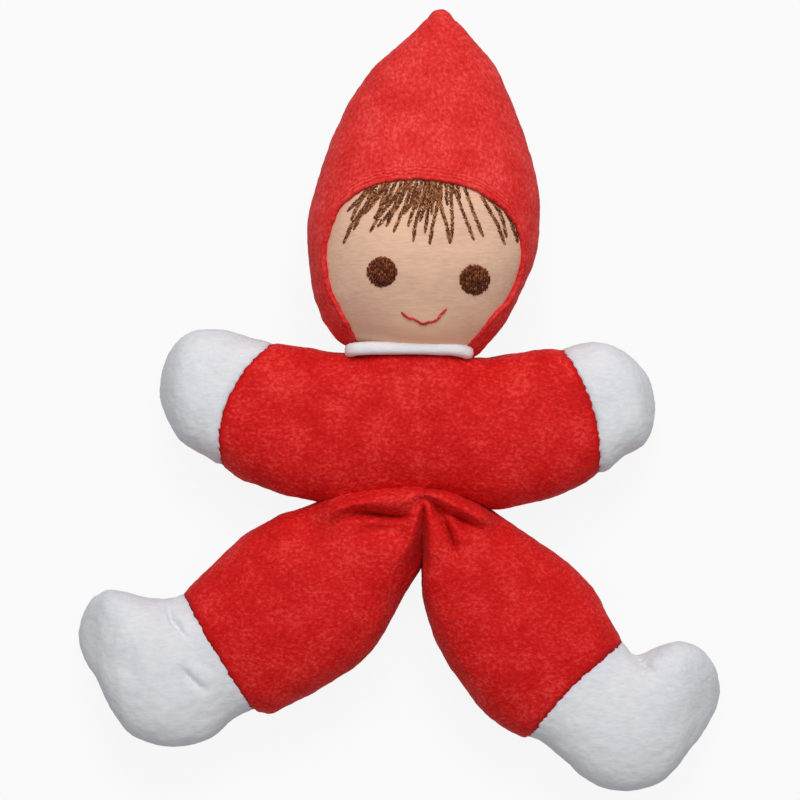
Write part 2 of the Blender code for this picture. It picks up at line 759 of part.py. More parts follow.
def leg_sections(side):
    """Sections of a leg and its foot, from the gather between the legs to the toe."""
    sign = -1.0 if side == "left" else 1.0
    outward = 180.0 if side == "left" else 0.0
    leg_heading = outward - sign * LEG_SPLAY[side]
    start = Vector((PARTING_X + sign * GAP, LEG_START_Y, 0.0))
    sections = []
    for along, turn, width, depth, height in LEG_SHARES:
        centre = start + heading_vector(leg_heading) * (along * LEG_LENGTH[side])
        spot = Vector((centre.x, centre.y, height * LEG_DEPTH / 2.0 - REST_CUT))
        heading = outward + turn * (leg_heading - outward)
        sections.append((spot, heading, width * LEG_WIDTH / 2.0, depth * LEG_DEPTH / 2.0))
    for step, step_turn, turn, width, depth, height in FOOT_SHARES:
        toe_turn = sign * TOE_TURN
        centre = centre + heading_vector(leg_heading + step_turn * toe_turn) * (step * FOOT_LENGTH)
        spot = Vector((centre.x, centre.y, height * FOOT_DEPTH / 2.0 - REST_CUT))
        heading = leg_heading + turn * toe_turn
        sections.append((spot, heading, width * FOOT_WIDTH / 2.0, depth * FOOT_DEPTH / 2.0))
    return sections


def before_ankle(name, spot, heading, shift, cutters):
    """Everything on the leg's side of the ankle seam."""
    turn = Matrix.Translation(spot) @ Matrix.Rotation(math.radians(heading), 4, "Z")
    low = (-CUTTER_REACH, -CUTTER_REACH, -CUTTER_REACH)
    return as_cutter(block(name, low, (shift, CUTTER_REACH, CUTTER_REACH), cutters, turn))


def make_leg(side, parts, cutters, materials, floor):
    """One leg with its foot, and the filling through both."""
    sections = leg_sections(side)
    cage = pillow_cage("leg_form_" + side, sections, LIMB_SQUARENESS)
    ankle, heading = sections[len(LEG_SHARES) - 1][:2]
    leg_side = before_ankle("leg_side_" + side, ankle, heading, -GAP / 2.0, cutters)
    foot_start = before_ankle("foot_start_" + side, ankle, heading, GAP / 2.0, cutters)

    leg = place("leg_cover_" + side, cage.copy(), parts, materials["red"])
    rounded(leg)
    walled(leg, VELOUR)
    cut(leg, leg_side, "INTERSECT")
    cut(leg, floor)

    foot = place("foot_" + side, cage.copy(), parts, materials["white"])
    rounded(foot)
    walled(foot, VELOUR)
    cut(foot, foot_start)
    cut(foot, floor)

    filling = place("leg_filling_" + side, cage, parts, materials["filling"])
    rounded(filling)
    drawn_in(filling, VELOUR + GAP)


def main():
    clear_scene()
    parts = collection("cloth_doll")
    cutters = collection("cutters")
    materials = {
        "red": cloth("red_velour", RED, 0.9),
        "white": cloth("white_velour", WHITE, 0.9),
        "white thread": cloth("white_thread", WHITE, 0.6),
        "peach": cloth("face_knit", PEACH, 0.85),
        "brown": cloth("brown_thread", BROWN, 0.6),
        "dark red": cloth("red_thread", DARK_RED, 0.6),
        "filling": cloth("polyester_filling", FILLING, 1.0),
    }
    low = (-CUTTER_REACH, -CUTTER_REACH, -CUTTER_REACH)
    floor = as_cutter(block("below_floor", low, (CUTTER_REACH, CUTTER_REACH, 0.0), cutters))
    face_surface = make_head(parts, cutters, materials, floor)
    make_mouth(parts, materials, face_surface)
    make_hair(parts, materials, face_surface)
    collar_seat, neck_hole = make_neck(parts, cutters, materials)
    torso_surface = make_torso(parts, cutters, materials, collar_seat, neck_hole)
    make_stitches(parts, materials, torso_surface)
    for side in ("left", "right"):
        make_arm(side, parts, cutters, materials, floor)
        make_leg(side, parts, cutters, materials, floor)


main()
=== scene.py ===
import itertools
import math

import bpy
import numpy as np
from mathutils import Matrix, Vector
from mathutils.bvhtree import BVHTree


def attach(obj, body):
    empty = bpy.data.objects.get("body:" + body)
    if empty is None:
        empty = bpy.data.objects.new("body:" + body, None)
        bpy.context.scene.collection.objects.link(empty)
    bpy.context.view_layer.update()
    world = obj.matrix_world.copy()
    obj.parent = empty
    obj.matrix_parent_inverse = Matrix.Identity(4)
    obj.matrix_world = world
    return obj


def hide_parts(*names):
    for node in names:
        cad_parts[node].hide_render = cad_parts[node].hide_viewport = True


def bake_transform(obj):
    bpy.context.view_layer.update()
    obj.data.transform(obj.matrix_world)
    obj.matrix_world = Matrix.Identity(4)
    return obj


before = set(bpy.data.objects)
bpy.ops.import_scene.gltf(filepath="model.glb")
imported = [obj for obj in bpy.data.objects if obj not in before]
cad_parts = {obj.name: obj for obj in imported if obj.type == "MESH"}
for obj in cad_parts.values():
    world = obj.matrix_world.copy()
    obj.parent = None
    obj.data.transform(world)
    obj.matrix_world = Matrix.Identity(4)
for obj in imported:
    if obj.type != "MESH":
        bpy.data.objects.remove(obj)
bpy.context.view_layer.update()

# Where the doll lies
# The doll lies on its back on a table and is looked at from straight above. Outlines are given
# as spots in the photograph, and each is placed at the height that the cloth has there.
PHOTO_SIZE = 800
PIXEL = 0.00032
MIDDLE_HEIGHT = 0.019
TOP_HEIGHT = 0.038
MM = 0.001
CAMERA_DISTANCE = 1.2
PHOTO_MIDDLE = (-18 * PIXEL, 25 * PIXEL)


def seen_at(spots, height):
    """Places in the doll's frame of spots in the photograph, at a height above the table."""
    spots = np.asarray(spots, float)
    height = np.broadcast_to(np.asarray(height, float), spots.shape[:-1])
    nearness = (CAMERA_DISTANCE + MIDDLE_HEIGHT - height) / CAMERA_DISTANCE
    x = (spots[..., 0] - PHOTO_SIZE / 2) * nearness * PIXEL + PHOTO_MIDDLE[0]
    y = (PHOTO_SIZE / 2 - spots[..., 1]) * nearness * PIXEL + PHOTO_MIDDLE[1]
    return np.stack((x, y, height), axis=-1)


def photo_spot(points):
    """The spot in the photograph where a point of the doll is seen."""
    nearness = (CAMERA_DISTANCE + MIDDLE_HEIGHT - points[..., 2]) / CAMERA_DISTANCE
    x = (points[..., 0] - PHOTO_MIDDLE[0]) / PIXEL / nearness + PHOTO_SIZE / 2
    y = PHOTO_SIZE / 2 - (points[..., 1] - PHOTO_MIDDLE[1]) / PIXEL / nearness
    return np.stack((x, y), axis=-1)


# Red velour
# All the red cloth is one short-pile velour knit: the pile lies in small flecks, is a deep red
# between them, and is lighter in brushed patches. Its pale pinkish tips are partly the fibres' own
# colour and partly a painted sheen; where it is seen along the surface its sheen is real.
RED_DEEP = (0.50, 0.003, 0.003)
RED_PILE = (0.66, 0.007, 0.006)
RED_TIPS_SHEEN = (0.82, 0.047, 0.041)
RED_SHEEN = (0.62, 0.40, 0.44)
# How light the pile has to be to change from the deep shade to the pile, and on to its tips with their
# painted sheen
PILE_RANGE = (0.30, 0.48)
TIPS_SHEEN_RANGE = (0.47, 0.73)
# How much brushed patches and a seam change how light it is. Along the hood's rim the seam mask
# also carries painted shade in the grooves and painted highlight on the raised lines.
PATCH_RANGE = (0.3, 0.7)
PATCH_CHANGE = 0.075
SEAM_CHANGE = -0.22
TUFT_SHARE = -0.4
PILE_ROUGHNESS = (0.80, 0.60)
PILE_HEIGHT = 0.0005
VELOUR_SHEEN_ROUGHNESS = 0.4


def filled(tree, node, values):
    """Links inputs of a node, or gives them a value. A colour has three numbers."""
    for name, value in values.items():
        socket = node.inputs[name]
        if isinstance(value, bpy.types.NodeSocket):
            tree.links.new(value, socket)
        elif socket.type == "RGBA":
            socket.default_value = (*value, 1.0)
        else:
            socket.default_value = value
    return node


def node_in(tree, kind, values=None, **settings):
    """A new node with its settings and its inputs."""
    node = tree.nodes.new(kind)
    for name, value in settings.items():
        setattr(node, name, value)
    return filled(tree, node, values or {})


def combined(tree, operation, first, second):
    """The result of a calculation with two values."""
    return node_in(tree, "ShaderNodeMath", {0: first, 1: second}, operation=operation).outputs[0]


def spread(tree, value, start, end, low=0.0, high=1.0, **settings):
    """A value with its range from start to end spread from low to high."""
    return node_in(tree, "ShaderNodeMapRange", {
        "Value": value, "From Min": start, "From Max": end, "To Min": low, "To Max": high,
    }, **settings).outputs[0]


def noise(tree, place, scale, detail=2.0, roughness=0.5, distortion=0.0):
    """A pattern of soft spots."""
    return node_in(tree, "ShaderNodeTexNoise", {
        "Vector": place, "Scale": scale, "Detail": detail, "Roughness": roughness,
        "Distortion": distortion}).outputs["Fac"]


def mixed_colour(tree, share, first, second):
    """A colour between two others, where the share runs from 0 to 1."""
    return node_in(tree, "ShaderNodeMix", {0: share, 6: first, 7: second}, data_type="RGBA").outputs[2]


def new_group(name, inputs):
    """A node group for a cloth: the group, its named inputs, its output node, and a place on it."""
    group = bpy.data.node_groups.new(name, "ShaderNodeTree")
    for socket, kind in inputs.items():
        group.interface.new_socket(name=socket, in_out="INPUT", socket_type="NodeSocket" + kind)
    for socket, kind in {"Colour": "Color", "Height": "Float", "Roughness": "Float"}.items():
        group.interface.new_socket(name=socket, in_out="OUTPUT", socket_type="NodeSocket" + kind)
    place = node_in(group, "ShaderNodeTexCoord").outputs["Object"]
    return group, group.nodes.new("NodeGroupInput").outputs, group.nodes.new("NodeGroupOutput"), place


def make_pile_group():
    """The pile of velour: its colour between three shades, the palest with a painted sheen, its height and
    its roughness.
    """
    group, given, result, place = new_group("velour_pile", {
        "Deep": "Color", "Pile": "Color", "Tips": "Color", "Fleck Size": "Float", "Brushed Size": "Float",
        "Stretch": "Vector", "near_seam": "Float"})
    drawn_out = node_in(group, "ShaderNodeVectorMath", {0: place, 1: given["Stretch"]},
                        operation="MULTIPLY").outputs[0]
    finer = combined(group, "DIVIDE", 1.0, given["Fleck Size"])
    wider = combined(group, "DIVIDE", 1.0, given["Brushed Size"])
    flecks = noise(group, drawn_out, finer, detail=4.0, roughness=0.70)
    tufts = node_in(group, "ShaderNodeTexVoronoi", {"Vector": drawn_out, "Scale": finer, "Randomness": 1.0})
    patches = spread(group, noise(group, place, wider), *PATCH_RANGE, -PATCH_CHANGE, PATCH_CHANGE)
    lit = combined(group, "ADD", flecks, patches)
    lit = combined(group, "ADD", lit, combined(group, "MULTIPLY", given["near_seam"], SEAM_CHANGE))
    tips = spread(group, lit, *TIPS_SHEEN_RANGE, interpolation_type="SMOOTHSTEP")
    cloth = mixed_colour(group, spread(group, lit, *PILE_RANGE), given["Deep"], given["Pile"])
    heap = combined(group, "MULTIPLY", tufts.outputs["Distance"], TUFT_SHARE)
    # The pale tips go in where the flecks are lightest: partly the fibres' own colour, partly a painted
    # sheen.
    filled(group, result, {
        "Colour": mixed_colour(group, tips, cloth, given["Tips"]),
        "Height": combined(group, "ADD", flecks, heap),
        "Roughness": spread(group, lit, 0.0, 1.0, *PILE_ROUGHNESS)})
    return group


velour_pile = make_pile_group()


def cloth_material(name, group, mask, values, bump_strength, bump_depth, shine):
    """A material made with a node group, which reads its mask from the mesh."""
    made = bpy.data.materials.new(name)
    made.use_nodes = True
    tree = made.node_tree
    masked = node_in(tree, "ShaderNodeAttribute", attribute_name=mask).outputs["Fac"]
    cloth = node_in(tree, "ShaderNodeGroup", {}, node_tree=group)
    filled(tree, cloth, {**values, mask: masked})
    bump = node_in(tree, "ShaderNodeBump", {
        "Strength": bump_strength, "Distance": bump_depth, "Height": cloth.outputs["Height"]})
    filled(tree, tree.nodes["Principled BSDF"], {
        "Base Color": cloth.outputs["Colour"], "Roughness": cloth.outputs["Roughness"],
        "Normal": bump.outputs["Normal"], **shine})
    return made


def velour(name, shades, sheen, sheen_weight, gloss, fleck_size, brushed_size, stretch, bump_strength):
    """A velour material from its three shades, its sheen and gloss, and the sizes in its pile."""
    values = dict(zip(("Deep", "Pile", "Tips"), shades))
    values.update({"Fleck Size": fleck_size, "Brushed Size": brushed_size, "Stretch": stretch})
    return cloth_material(name, velour_pile, "near_seam", values, bump_strength, PILE_HEIGHT, {
        "Specular IOR Level": gloss, "Sheen Weight": sheen_weight,
        "Sheen Roughness": VELOUR_SHEEN_ROUGHNESS, "Sheen Tint": sheen})


red_velour = velour(
    "doll_red_velour", (RED_DEEP, RED_PILE, RED_TIPS_SHEEN), RED_SHEEN, sheen_weight=0.035, gloss=0.15,
    fleck_size=0.0010, brushed_size=0.009, stretch=(0.75, 1.0, 0.8), bump_strength=0.5)

# Body and sleeves
# The body runs on into both sleeves: two velour halves, stuffed with fibre, and sewn together
# down the middle of the chest and back. Each half ends in the curved wrist seam of its hand.
# A rib is a pair of spots on the upper and lower edge of the stuffed form in the photograph.
BODY_DEPTH = 0.0190
BODY_SQUARENESS = 2.5
HAND_SQUARENESS = 2.5
ROW_SPACING = 0.0007
AROUND = 216
SINK = 0.0005
LEFT_BODY_RIBS = (
    ((415, 344), (421, 499)), ((395, 345), (393, 499)), ((372, 350), (364, 501)),
    ((348, 354), (335, 503)), ((328, 352.5), (306, 499)), ((310, 348.5), (282, 494)),
    ((297, 346), (260, 486)), ((285, 343.5), (240, 478)), ((273, 342), (221.5, 464.5)),
)
LEFT_HAND_RIBS = (
    ((262, 340.5), (214, 461)), ((250, 338), (206, 456.5)), ((238, 334), (198.5, 452.5)),
    ((225, 330.5), (191, 448)), ((211, 329), (184, 443)), ((198, 330), (177.5, 436)),
    ((186, 334), (171.5, 427.5)), ((175, 343.5), (166.5, 417)), ((167, 357), (162.5, 405)),
    ((162, 371), (160.6, 396)), ((160.3, 380), (160.0, 389)),
)
RIGHT_BODY_RIBS = (
    ((415, 344), (421, 499)), ((442, 346), (443, 500)), ((466, 356), (470, 504)),
    ((488, 357.5), (497, 509)), ((506, 354.5), (522, 504.5)), ((521, 352), (545, 500)),
    ((535, 349.5), (565, 493)), ((548, 348.5), (583, 484)), ((561, 348.5), (598.5, 474)),
)
RIGHT_HAND_RIBS = (
    ((575, 345.5), (607, 471)), ((589, 343), (615, 464.5)), ((602, 343.5), (624, 456.5)),
    ((614, 346.5), (633, 451.5)), ((626, 353), (641, 446.5)), ((637, 363), (647, 439.5)),
    ((646, 374), (651.5, 429.5)), ((651.5, 386), (654, 419.5)), ((654.3, 396), (655, 410)),
    ((655.2, 401), (655.2, 406)),
)
LEFT_ARM_DEPTH_SHARES = (
    1.0, 1.0, 0.99, 0.97, 0.95, 0.93, 0.92, 0.91, 0.89,
    0.89, 0.885, 0.88, 0.87, 0.84, 0.79, 0.70, 0.56, 0.37, 0.20, 0.08,
)
RIGHT_ARM_DEPTH_SHARES = (
    1.0, 1.0, 0.99, 0.97, 0.95, 0.93, 0.92, 0.91, 0.89,
    0.89, 0.885, 0.87, 0.83, 0.76, 0.64, 0.48, 0.30, 0.13, 0.05,
)
# How far each rib bows towards the hand, in the photograph
LEFT_ARM_BOWS = (0, 0, 1, 3, 5.5, 9, 12.3, 15.3, 17.5, 17, 16, 14, 12, 9, 6.5, 4, 2.5, 1, 0.4, 0)
RIGHT_ARM_BOWS = (0, 0, 0.5, 2, 4, 6, 7.6, 9.2, 11, 10.8, 10, 8.5, 6.8, 5, 3, 1.5, 0.8, 0.2, 0)
TUCK = 0.0012
# How steeply the cloth turns up to where a crease or a fold has its full depth
CREASE_FACING = 2.0
FOLD_FACING = 2.5
FOLD_FADE_SHARE = 0.3
# The uneven swell of the filling, and then of the cloth: each with its size, height and seed
BODY_SWELLS = ((0.014, 0.00045, 0), (0.0065, 0.000225, 1), (0.0021, 0.00014, 2), (0.0011, 0.000084, 3))
LOWEST = 0.0002
SEAM_ROWS = 1.6
SEAM_RAGGED = 0.00046
SEAM_RAGGED_ROWS = 2.2
SEAM_RAGGED_SIZE = 0.0009


def smooth_at(knots, values, places):
    """Values at places, on a smooth curve through the values at the knots."""
    knots = np.asarray(knots, float)
    values = np.asarray(values, float)
    slopes = np.gradient(values, knots, axis=0)
    step = np.clip(np.searchsorted(knots, places, side="right") - 1, 0, len(knots) - 2)
    column = (-1,) + (1,) * (values.ndim - 1)
    width = (knots[step + 1] - knots[step]).reshape(column)
    share = (places - knots[step]).reshape(column) / width
    square = share**2
    cube = share**3
    return ((2 * cube - 3 * square + 1) * values[step] + (3 * square - 2 * cube) * values[step + 1]
            + ((cube - 2 * square + share) * slopes[step] + (cube - square) * slopes[step + 1]) * width)


def lengths_along(points):
    """How far along a line each of its points lies."""
    return np.concatenate(([0.0], np.cumsum(np.linalg.norm(np.diff(points, axis=0), axis=1))))


def unit(vectors):
    """The directions of vectors."""
    return vectors / np.maximum(np.linalg.norm(vectors, axis=-1, keepdims=True), 1e-12)


def section_round(count, power=1.0):
    """The sides and the heights round a section, from -1 to 1. A lower power makes it squarer."""
    angle = np.arange(count) * 2.0 * math.pi / count
    return [np.sign(part) * np.abs(part) ** power for part in (np.cos(angle), np.sin(angle))]


def straight_out(rows):
    """The direction straight out of the cloth at every point of closed rows."""
    around = np.roll(rows, -1, axis=1) - np.roll(rows, 1, axis=1)
    return unit(np.cross(around, np.gradient(rows, axis=0)))


def turned_out(rows):
    """Rows in the order that makes their faces look outwards."""
    middle = rows.mean(axis=1, keepdims=True)
    if ((rows - middle) * straight_out(rows)).sum() < 0.0:
        return rows[:, ::-1].copy()
    return rows


def stuffed_rows(ribs, depths, bows, seam, squareness):
    """Rows of points round a stuffed limb, and the number of the row at its seam.

    Each rib has its two edges in the photograph, half its depth and its bow. Past the seam
    the sections change from the first squareness to the second."""
    ribs = np.array(ribs, float)
    depths = np.array(depths)
    one = seen_at(ribs[:, 0], depths - SINK)
    other = seen_at(ribs[:, 1], depths - SINK)
    centre = (one + other) / 2
    way = lengths_along(centre[:, :2])
    before = np.linspace(0.0, way[seam], max(2, round(way[seam] / ROW_SPACING)))
    after = np.linspace(way[seam], way[-1], max(2, round((way[-1] - way[seam]) / ROW_SPACING)))
    places = np.concatenate((before, after[1:]))
    half = smooth_at(way, (one - other) / 2, places)
    centre = smooth_at(way, centre, places)
    depth = smooth_at(way, depths, places)
    bow = smooth_at(way, np.array(bows) * PIXEL, places)
    ahead = unit(np.gradient(centre[:, :2], axis=0))
    power = 2.0 / np.interp(places, (way[seam], (way[seam] + way[-1]) / 2), squareness)
    side, rise = section_round(AROUND, power[:, None])
    rows = centre[:, None] + half[:, None] * side[..., None]
    rows[..., 2] += depth[:, None] * rise
    rows[..., :2] += ahead[:, None] * (bow[:, None] * (1.0 - side**2))[..., None]
    return turned_out(rows), len(before) - 1


def lumps(points, size, seed):
    """Smooth swellings between -1 and 1 of one size, the same at each run.

    The large odd numbers scatter the corners of the cells evenly."""
    cell = points / size + seed * 11.7
    corner = np.floor(cell).astype(np.int64)
    share = cell - corner
    share = share * share * (3.0 - 2.0 * share)
    total = np.zeros(points.shape[:-1])
    for step in itertools.product((0, 1), repeat=3):
        x, y, z = np.moveaxis(corner + step, -1, 0)
        mixed = (x * 73856093) ^ (y * 19349663) ^ (z * 83492791) ^ (seed * 2654435761)
        mixed = (mixed ^ (mixed >> 13)) * 1274126177
        value = ((mixed ^ (mixed >> 16)) & 0xFFFF) / 0x7FFF - 1.0
        total += value * np.prod(np.where(step, share, 1.0 - share), axis=-1)
    return total


def swell(points, swells, seed=0):
    """The height of uneven swellings, each kind with its size, height and seed."""
    return sum(height * lumps(points, size, seed + number) for size, height, number in swells)


def swollen(rows, swells, seed=0):
    """Cloth with uneven swellings."""
    return rows + straight_out(rows) * swell(rows, swells, seed)[..., None]


def along_line(points, spots):
    """How far points lie from a line in the photograph, and how far along it, from 0 to 1."""
    line = seen_at(spots, TOP_HEIGHT)[:, :2]
    start = lengths_along(line)
    nearest = np.full(points.shape[:-1], np.inf)
    along = np.zeros(points.shape[:-1])
    for first, second, gone, length in zip(line, line[1:], start, np.diff(start)):
        way = (second - first) / length
        run = np.clip((points[..., :2] - first) @ way, 0.0, length)
        gap = np.linalg.norm(points[..., :2] - first - run[..., None] * way, axis=-1)
        closer = gap < nearest
        nearest = np.where(closer, gap, nearest)
        along = np.where(closer, (gone + run) / start[-1], along)
    return nearest, along


def read_along(values, along):
    """Values that lie evenly along a line, read at places from 0 to 1."""
    return np.interp(along, np.linspace(0.0, 1.0, len(values)), values)


def pressed(rows, creases, front=1.0):
    """Presses creases into the front of the cloth, or into its back where front is -1.

    A crease has its line, its width in the photograph, and depths along it: a depth under
    zero is a ridge."""
    normal = straight_out(rows)
    press = np.zeros(rows.shape[:2])
    for line, width, depths in creases:
        gap, along = along_line(rows, line)
        press += read_along(depths, along) * np.exp(-(gap / (width * PIXEL)) ** 2)
    facing = np.clip(normal[..., 2] * front * CREASE_FACING, 0.0, 1.0)
    return rows - normal * (press * facing)[..., None]


def laid_in_folds(rows, folds):
    """Lays the front of the cloth in folds, one after the other.

    A fold has its line, its width in the photograph, its roundness, which is 1 for a sharp
    valley and 2 for a round one, and the heights of the cloth along it, in millimetres above
    the table. It fades out at the far end."""
    facing = np.clip(straight_out(rows)[..., 2] * FOLD_FACING, 0.0, 1.0)
    rows = rows.copy()
    for line, width, roundness, heights in folds:
        gap, along = along_line(rows, line)
        fade = np.clip((1.0 - along) / FOLD_FADE_SHARE, 0.0, 1.0)
        share = facing * fade * fade * (3.0 - 2.0 * fade) * np.exp(-(gap / (width * PIXEL)) ** roundness)
        rows[..., 2] += share * (read_along(heights, along) * MM - rows[..., 2])
    return rows


def rested(rows):
    """Flattens what would lie below the table."""
    rows = rows.copy()
    rows[..., 2] = np.maximum(rows[..., 2], LOWEST)
    return rows


def pinched(rows, seam, depth, width=SEAM_ROWS):
    """Draws the cloth in at the row of a seam."""
    distance = np.abs(np.arange(len(rows)) - seam) / width
    return rows - straight_out(rows) * (depth * np.exp(-distance**2))[:, None, None]


def ragged(rows, seam):
    """Makes the line of a seam uneven, as the pile of both cloths crosses it."""
    ahead = unit(np.gradient(rows, axis=0))
    near = np.exp(-((np.arange(len(rows)) - seam) / SEAM_RAGGED_ROWS) ** 2)[:, None]
    return rows + ahead * (SEAM_RAGGED * near * lumps(rows, SEAM_RAGGED_SIZE, 61))[..., None]


def grid_faces(count, around, closed=True):
    """The faces between rows of points, all the way round where the rows are closed."""
    step = np.arange(around if closed else around - 1)
    first = np.arange(count - 1)[:, None] * around + step
    second = np.arange(count - 1)[:, None] * around + (step + 1) % around
    return np.stack((first, second, second + around, first + around), axis=-1).reshape(-1, 4)


def new_mesh(points, faces, **masks):
    """A smooth mesh with the masks that its material reads."""
    mesh = bpy.data.meshes.new("cloth")
    mesh.from_pydata(np.array(points).tolist(), [], faces)
    mesh.shade_smooth()
    for name, values in masks.items():
        mask = mesh.attributes.new(name, "FLOAT", "POINT")
        mask.data.foreach_set("value", np.array(values, np.float32))
    return mesh


def cloth_mesh(rows, seams=None, tuck_start=False, tuck_end=False, close_start=False, close_end=False,
               **masks):
    """A mesh from closed rows. An end can turn in like a seam allowance, or be closed.

    The seams give how much the pile is pressed down at a row. Where the start is closed
    with a flat wall, its edge stays sharp."""
    near_seam = np.zeros(len(rows))
    for seam, strength in (seams or {}).items():
        near_seam += strength * np.exp(-((np.arange(len(rows)) - seam) / SEAM_ROWS) ** 2)
    turned_in = rows - straight_out(rows) * TUCK
    rows = np.concatenate([turned_in[:1]] * tuck_start + [rows] + [turned_in[-1:]] * tuck_end)
    near_seam = np.pad(near_seam, (int(tuck_start), int(tuck_end)), mode="edge")
    count, around = rows.shape[:2]
    faces = grid_faces(count, around).tolist()
    points = rows.reshape(-1, 3)
    near_seam = np.repeat(near_seam, around)
    if close_start == "flat":
        faces.append([len(points) + step for step in range(around)][::-1])
        points = np.concatenate((points, rows[0]))
        near_seam = np.concatenate((near_seam, near_seam[:around]))
    elif close_start:
        faces.append(list(range(around))[::-1])
    if close_end:
        faces.append([(count - 1) * around + step for step in range(around)])
    return new_mesh(points, faces, near_seam=near_seam, **masks)


def piece(name, mesh, material):
    """An object in the scene for one piece of the doll."""
    mesh.name = name
    made = bpy.data.objects.new(name, mesh)
    bpy.context.scene.collection.objects.link(made)
    made.data.materials.append(material)
    return made


# Both halves have the same filling, so that they meet at the middle seam.
BODY_FILLING = 3
MIDDLE_SEAM_PULL = 0.00025
MIDDLE_SEAM_ROWS = 1.2
MIDDLE_SEAM_ROUGH = -0.35
WRIST_PULL = 0.00045
CHEST_CREASES = (
    (((332, 392), (337, 412)), 9, (0.0, 0.0009, 0.0)),
    (((352, 362), (375, 372), (400, 378)), 14, (0.0, -0.0004, 0.0)),
)
# The chest is full right up to the collar.
UNDER_COLLAR = (((350, 358), (385, 359.5), (420, 360), (455, 359.5), (472, 359)), 11,
                (-0.0010, -0.0022, -0.0024, -0.0022, -0.0010))


def arm_rows(body_ribs, hand_ribs, shares, bows, creases):
    """The rows of one half of the body with its sleeve and hand, and the row of its wrist."""
    rows, wrist = stuffed_rows(body_ribs + hand_ribs, np.array(shares) * BODY_DEPTH, bows,
                               len(body_ribs) - 1, (BODY_SQUARENESS, HAND_SQUARENESS))
    rows = pinched(swollen(rows, BODY_SWELLS, BODY_FILLING), 0, MIDDLE_SEAM_PULL, MIDDLE_SEAM_ROWS)
    rows = ragged(pinched(rows, wrist, WRIST_PULL), wrist)
    return pressed(rested(rows), creases), wrist


arms = {
    "left": arm_rows(LEFT_BODY_RIBS, LEFT_HAND_RIBS, LEFT_ARM_DEPTH_SHARES, LEFT_ARM_BOWS,
                     CHEST_CREASES + (UNDER_COLLAR,)),
    "right": arm_rows(RIGHT_BODY_RIBS, RIGHT_HAND_RIBS, RIGHT_ARM_DEPTH_SHARES, RIGHT_ARM_BOWS,
                      (UNDER_COLLAR,)),
}
for side, (rows, wrist) in arms.items():
    cover = piece("body_and_sleeve_" + side,
                  cloth_mesh(rows[:wrist + 1], seams={0: MIDDLE_SEAM_ROUGH, wrist: 1.0}, tuck_end=True),
                  red_velour)
    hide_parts("torso_front_" + side, "torso_back", "torso_filling",
                "sleeve_" + side, "arm_filling_" + side)
    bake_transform(cover)

# Hands
# Rounded mittens without fingers, in the white velour of the feet. Each is sewn to the open
# end of its sleeve, turned, and stuffed through the arm.
# The pale tips of the white pile carry a painted sheen, as on the red velour.
WHITE_DEEP = (0.68, 0.69, 0.735)
WHITE_PILE = (0.74, 0.75, 0.79)
WHITE_TIPS_SHEEN = (0.80, 0.80, 0.83)
WHITE_SHEEN = (0.94, 0.96, 1.0)
white_velour = velour(
    "doll_white_velour", (WHITE_DEEP, WHITE_PILE, WHITE_TIPS_SHEEN), WHITE_SHEEN, sheen_weight=0.06, gloss=0.05,
    fleck_size=0.0013, brushed_size=0.010, stretch=(0.5, 1.25, 0.8), bump_strength=0.25)

for side, (rows, wrist) in arms.items():
    hand = piece("mitten_" + side, cloth_mesh(rows[wrist:], seams={0: 1.0}, tuck_start=True, close_end=True),
                 white_velour)
    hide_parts("hand_" + side)
    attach(hand, "arm_" + side)

# Legs
# Each leg is a velour tube stuffed with fibre, sewn across the foot of the body. Both are
# gathered at one point between them, and the folds of the cloth run out from that point.
LEG_DEPTH = 0.0185
LEG_SQUARENESS = 2.3
FOOT_SQUARENESS = 2.9
LEFT_LEG_RIBS = (
    ((423.6, 482), (423.3, 563)), ((418.5, 481.7), (419.7, 569.5)), ((411, 481.5), (414.5, 577.5)),
    ((398, 481.5), (405.5, 594)), ((378, 483), (389.5, 623)), ((355, 486), (373, 648.5)),
    ((336, 492), (352, 668)), ((318, 501), (333, 680.5)), ((297, 508.5), (315, 691.5)),
    ((277, 514.5), (300, 699.5)), ((259, 525), (286, 707)), ((242, 536.5), (274, 712.5)),
    ((217, 560), (264, 712)), ((200, 576), (258, 711)), ((183.6, 592.5), (254, 710)),
)
LEFT_FOOT_RIBS = (
    ((178, 596), (245, 712)), ((172, 597.5), (233, 719)), ((160, 598.5), (212, 737)),
    ((150, 598.5), (190, 745)), ((142, 597.5), (170, 746.5)), ((134, 595.5), (150, 742)),
    ((127, 593.5), (130, 731)), ((120, 592), (115, 712)), ((113, 591), (106, 697)),
    ((106, 591.5), (98, 677)), ((99, 595), (89, 664)), ((92, 600), (84, 655)),
    ((86, 610), (81, 646)), ((81.5, 621), (79.8, 640)), ((79.6, 629), (79.2, 636)),
)
RIGHT_LEG_RIBS = (
    ((421.5, 482), (421.5, 563)), ((426, 482), (422.3, 574)), ((433, 482.5), (422.8, 583)),
    ((445.5, 485), (423.2, 597)), ((456, 489), (425.6, 612)), ((467, 494.5), (429.3, 627)),
    ((479, 501.5), (434.5, 641)), ((491, 509.5), (442, 653)), ((506, 520), (450, 667)),
    ((521, 530), (459, 680)), ((537, 541), (470, 694)), ((552, 551), (482, 709)),
    ((573.5, 568.5), (497, 722.5)), ((591, 588), (508, 730)), ((606, 612), (518, 736)),
    ((614, 626), (523, 737.5)), ((623, 641.5), (528, 738)),
)
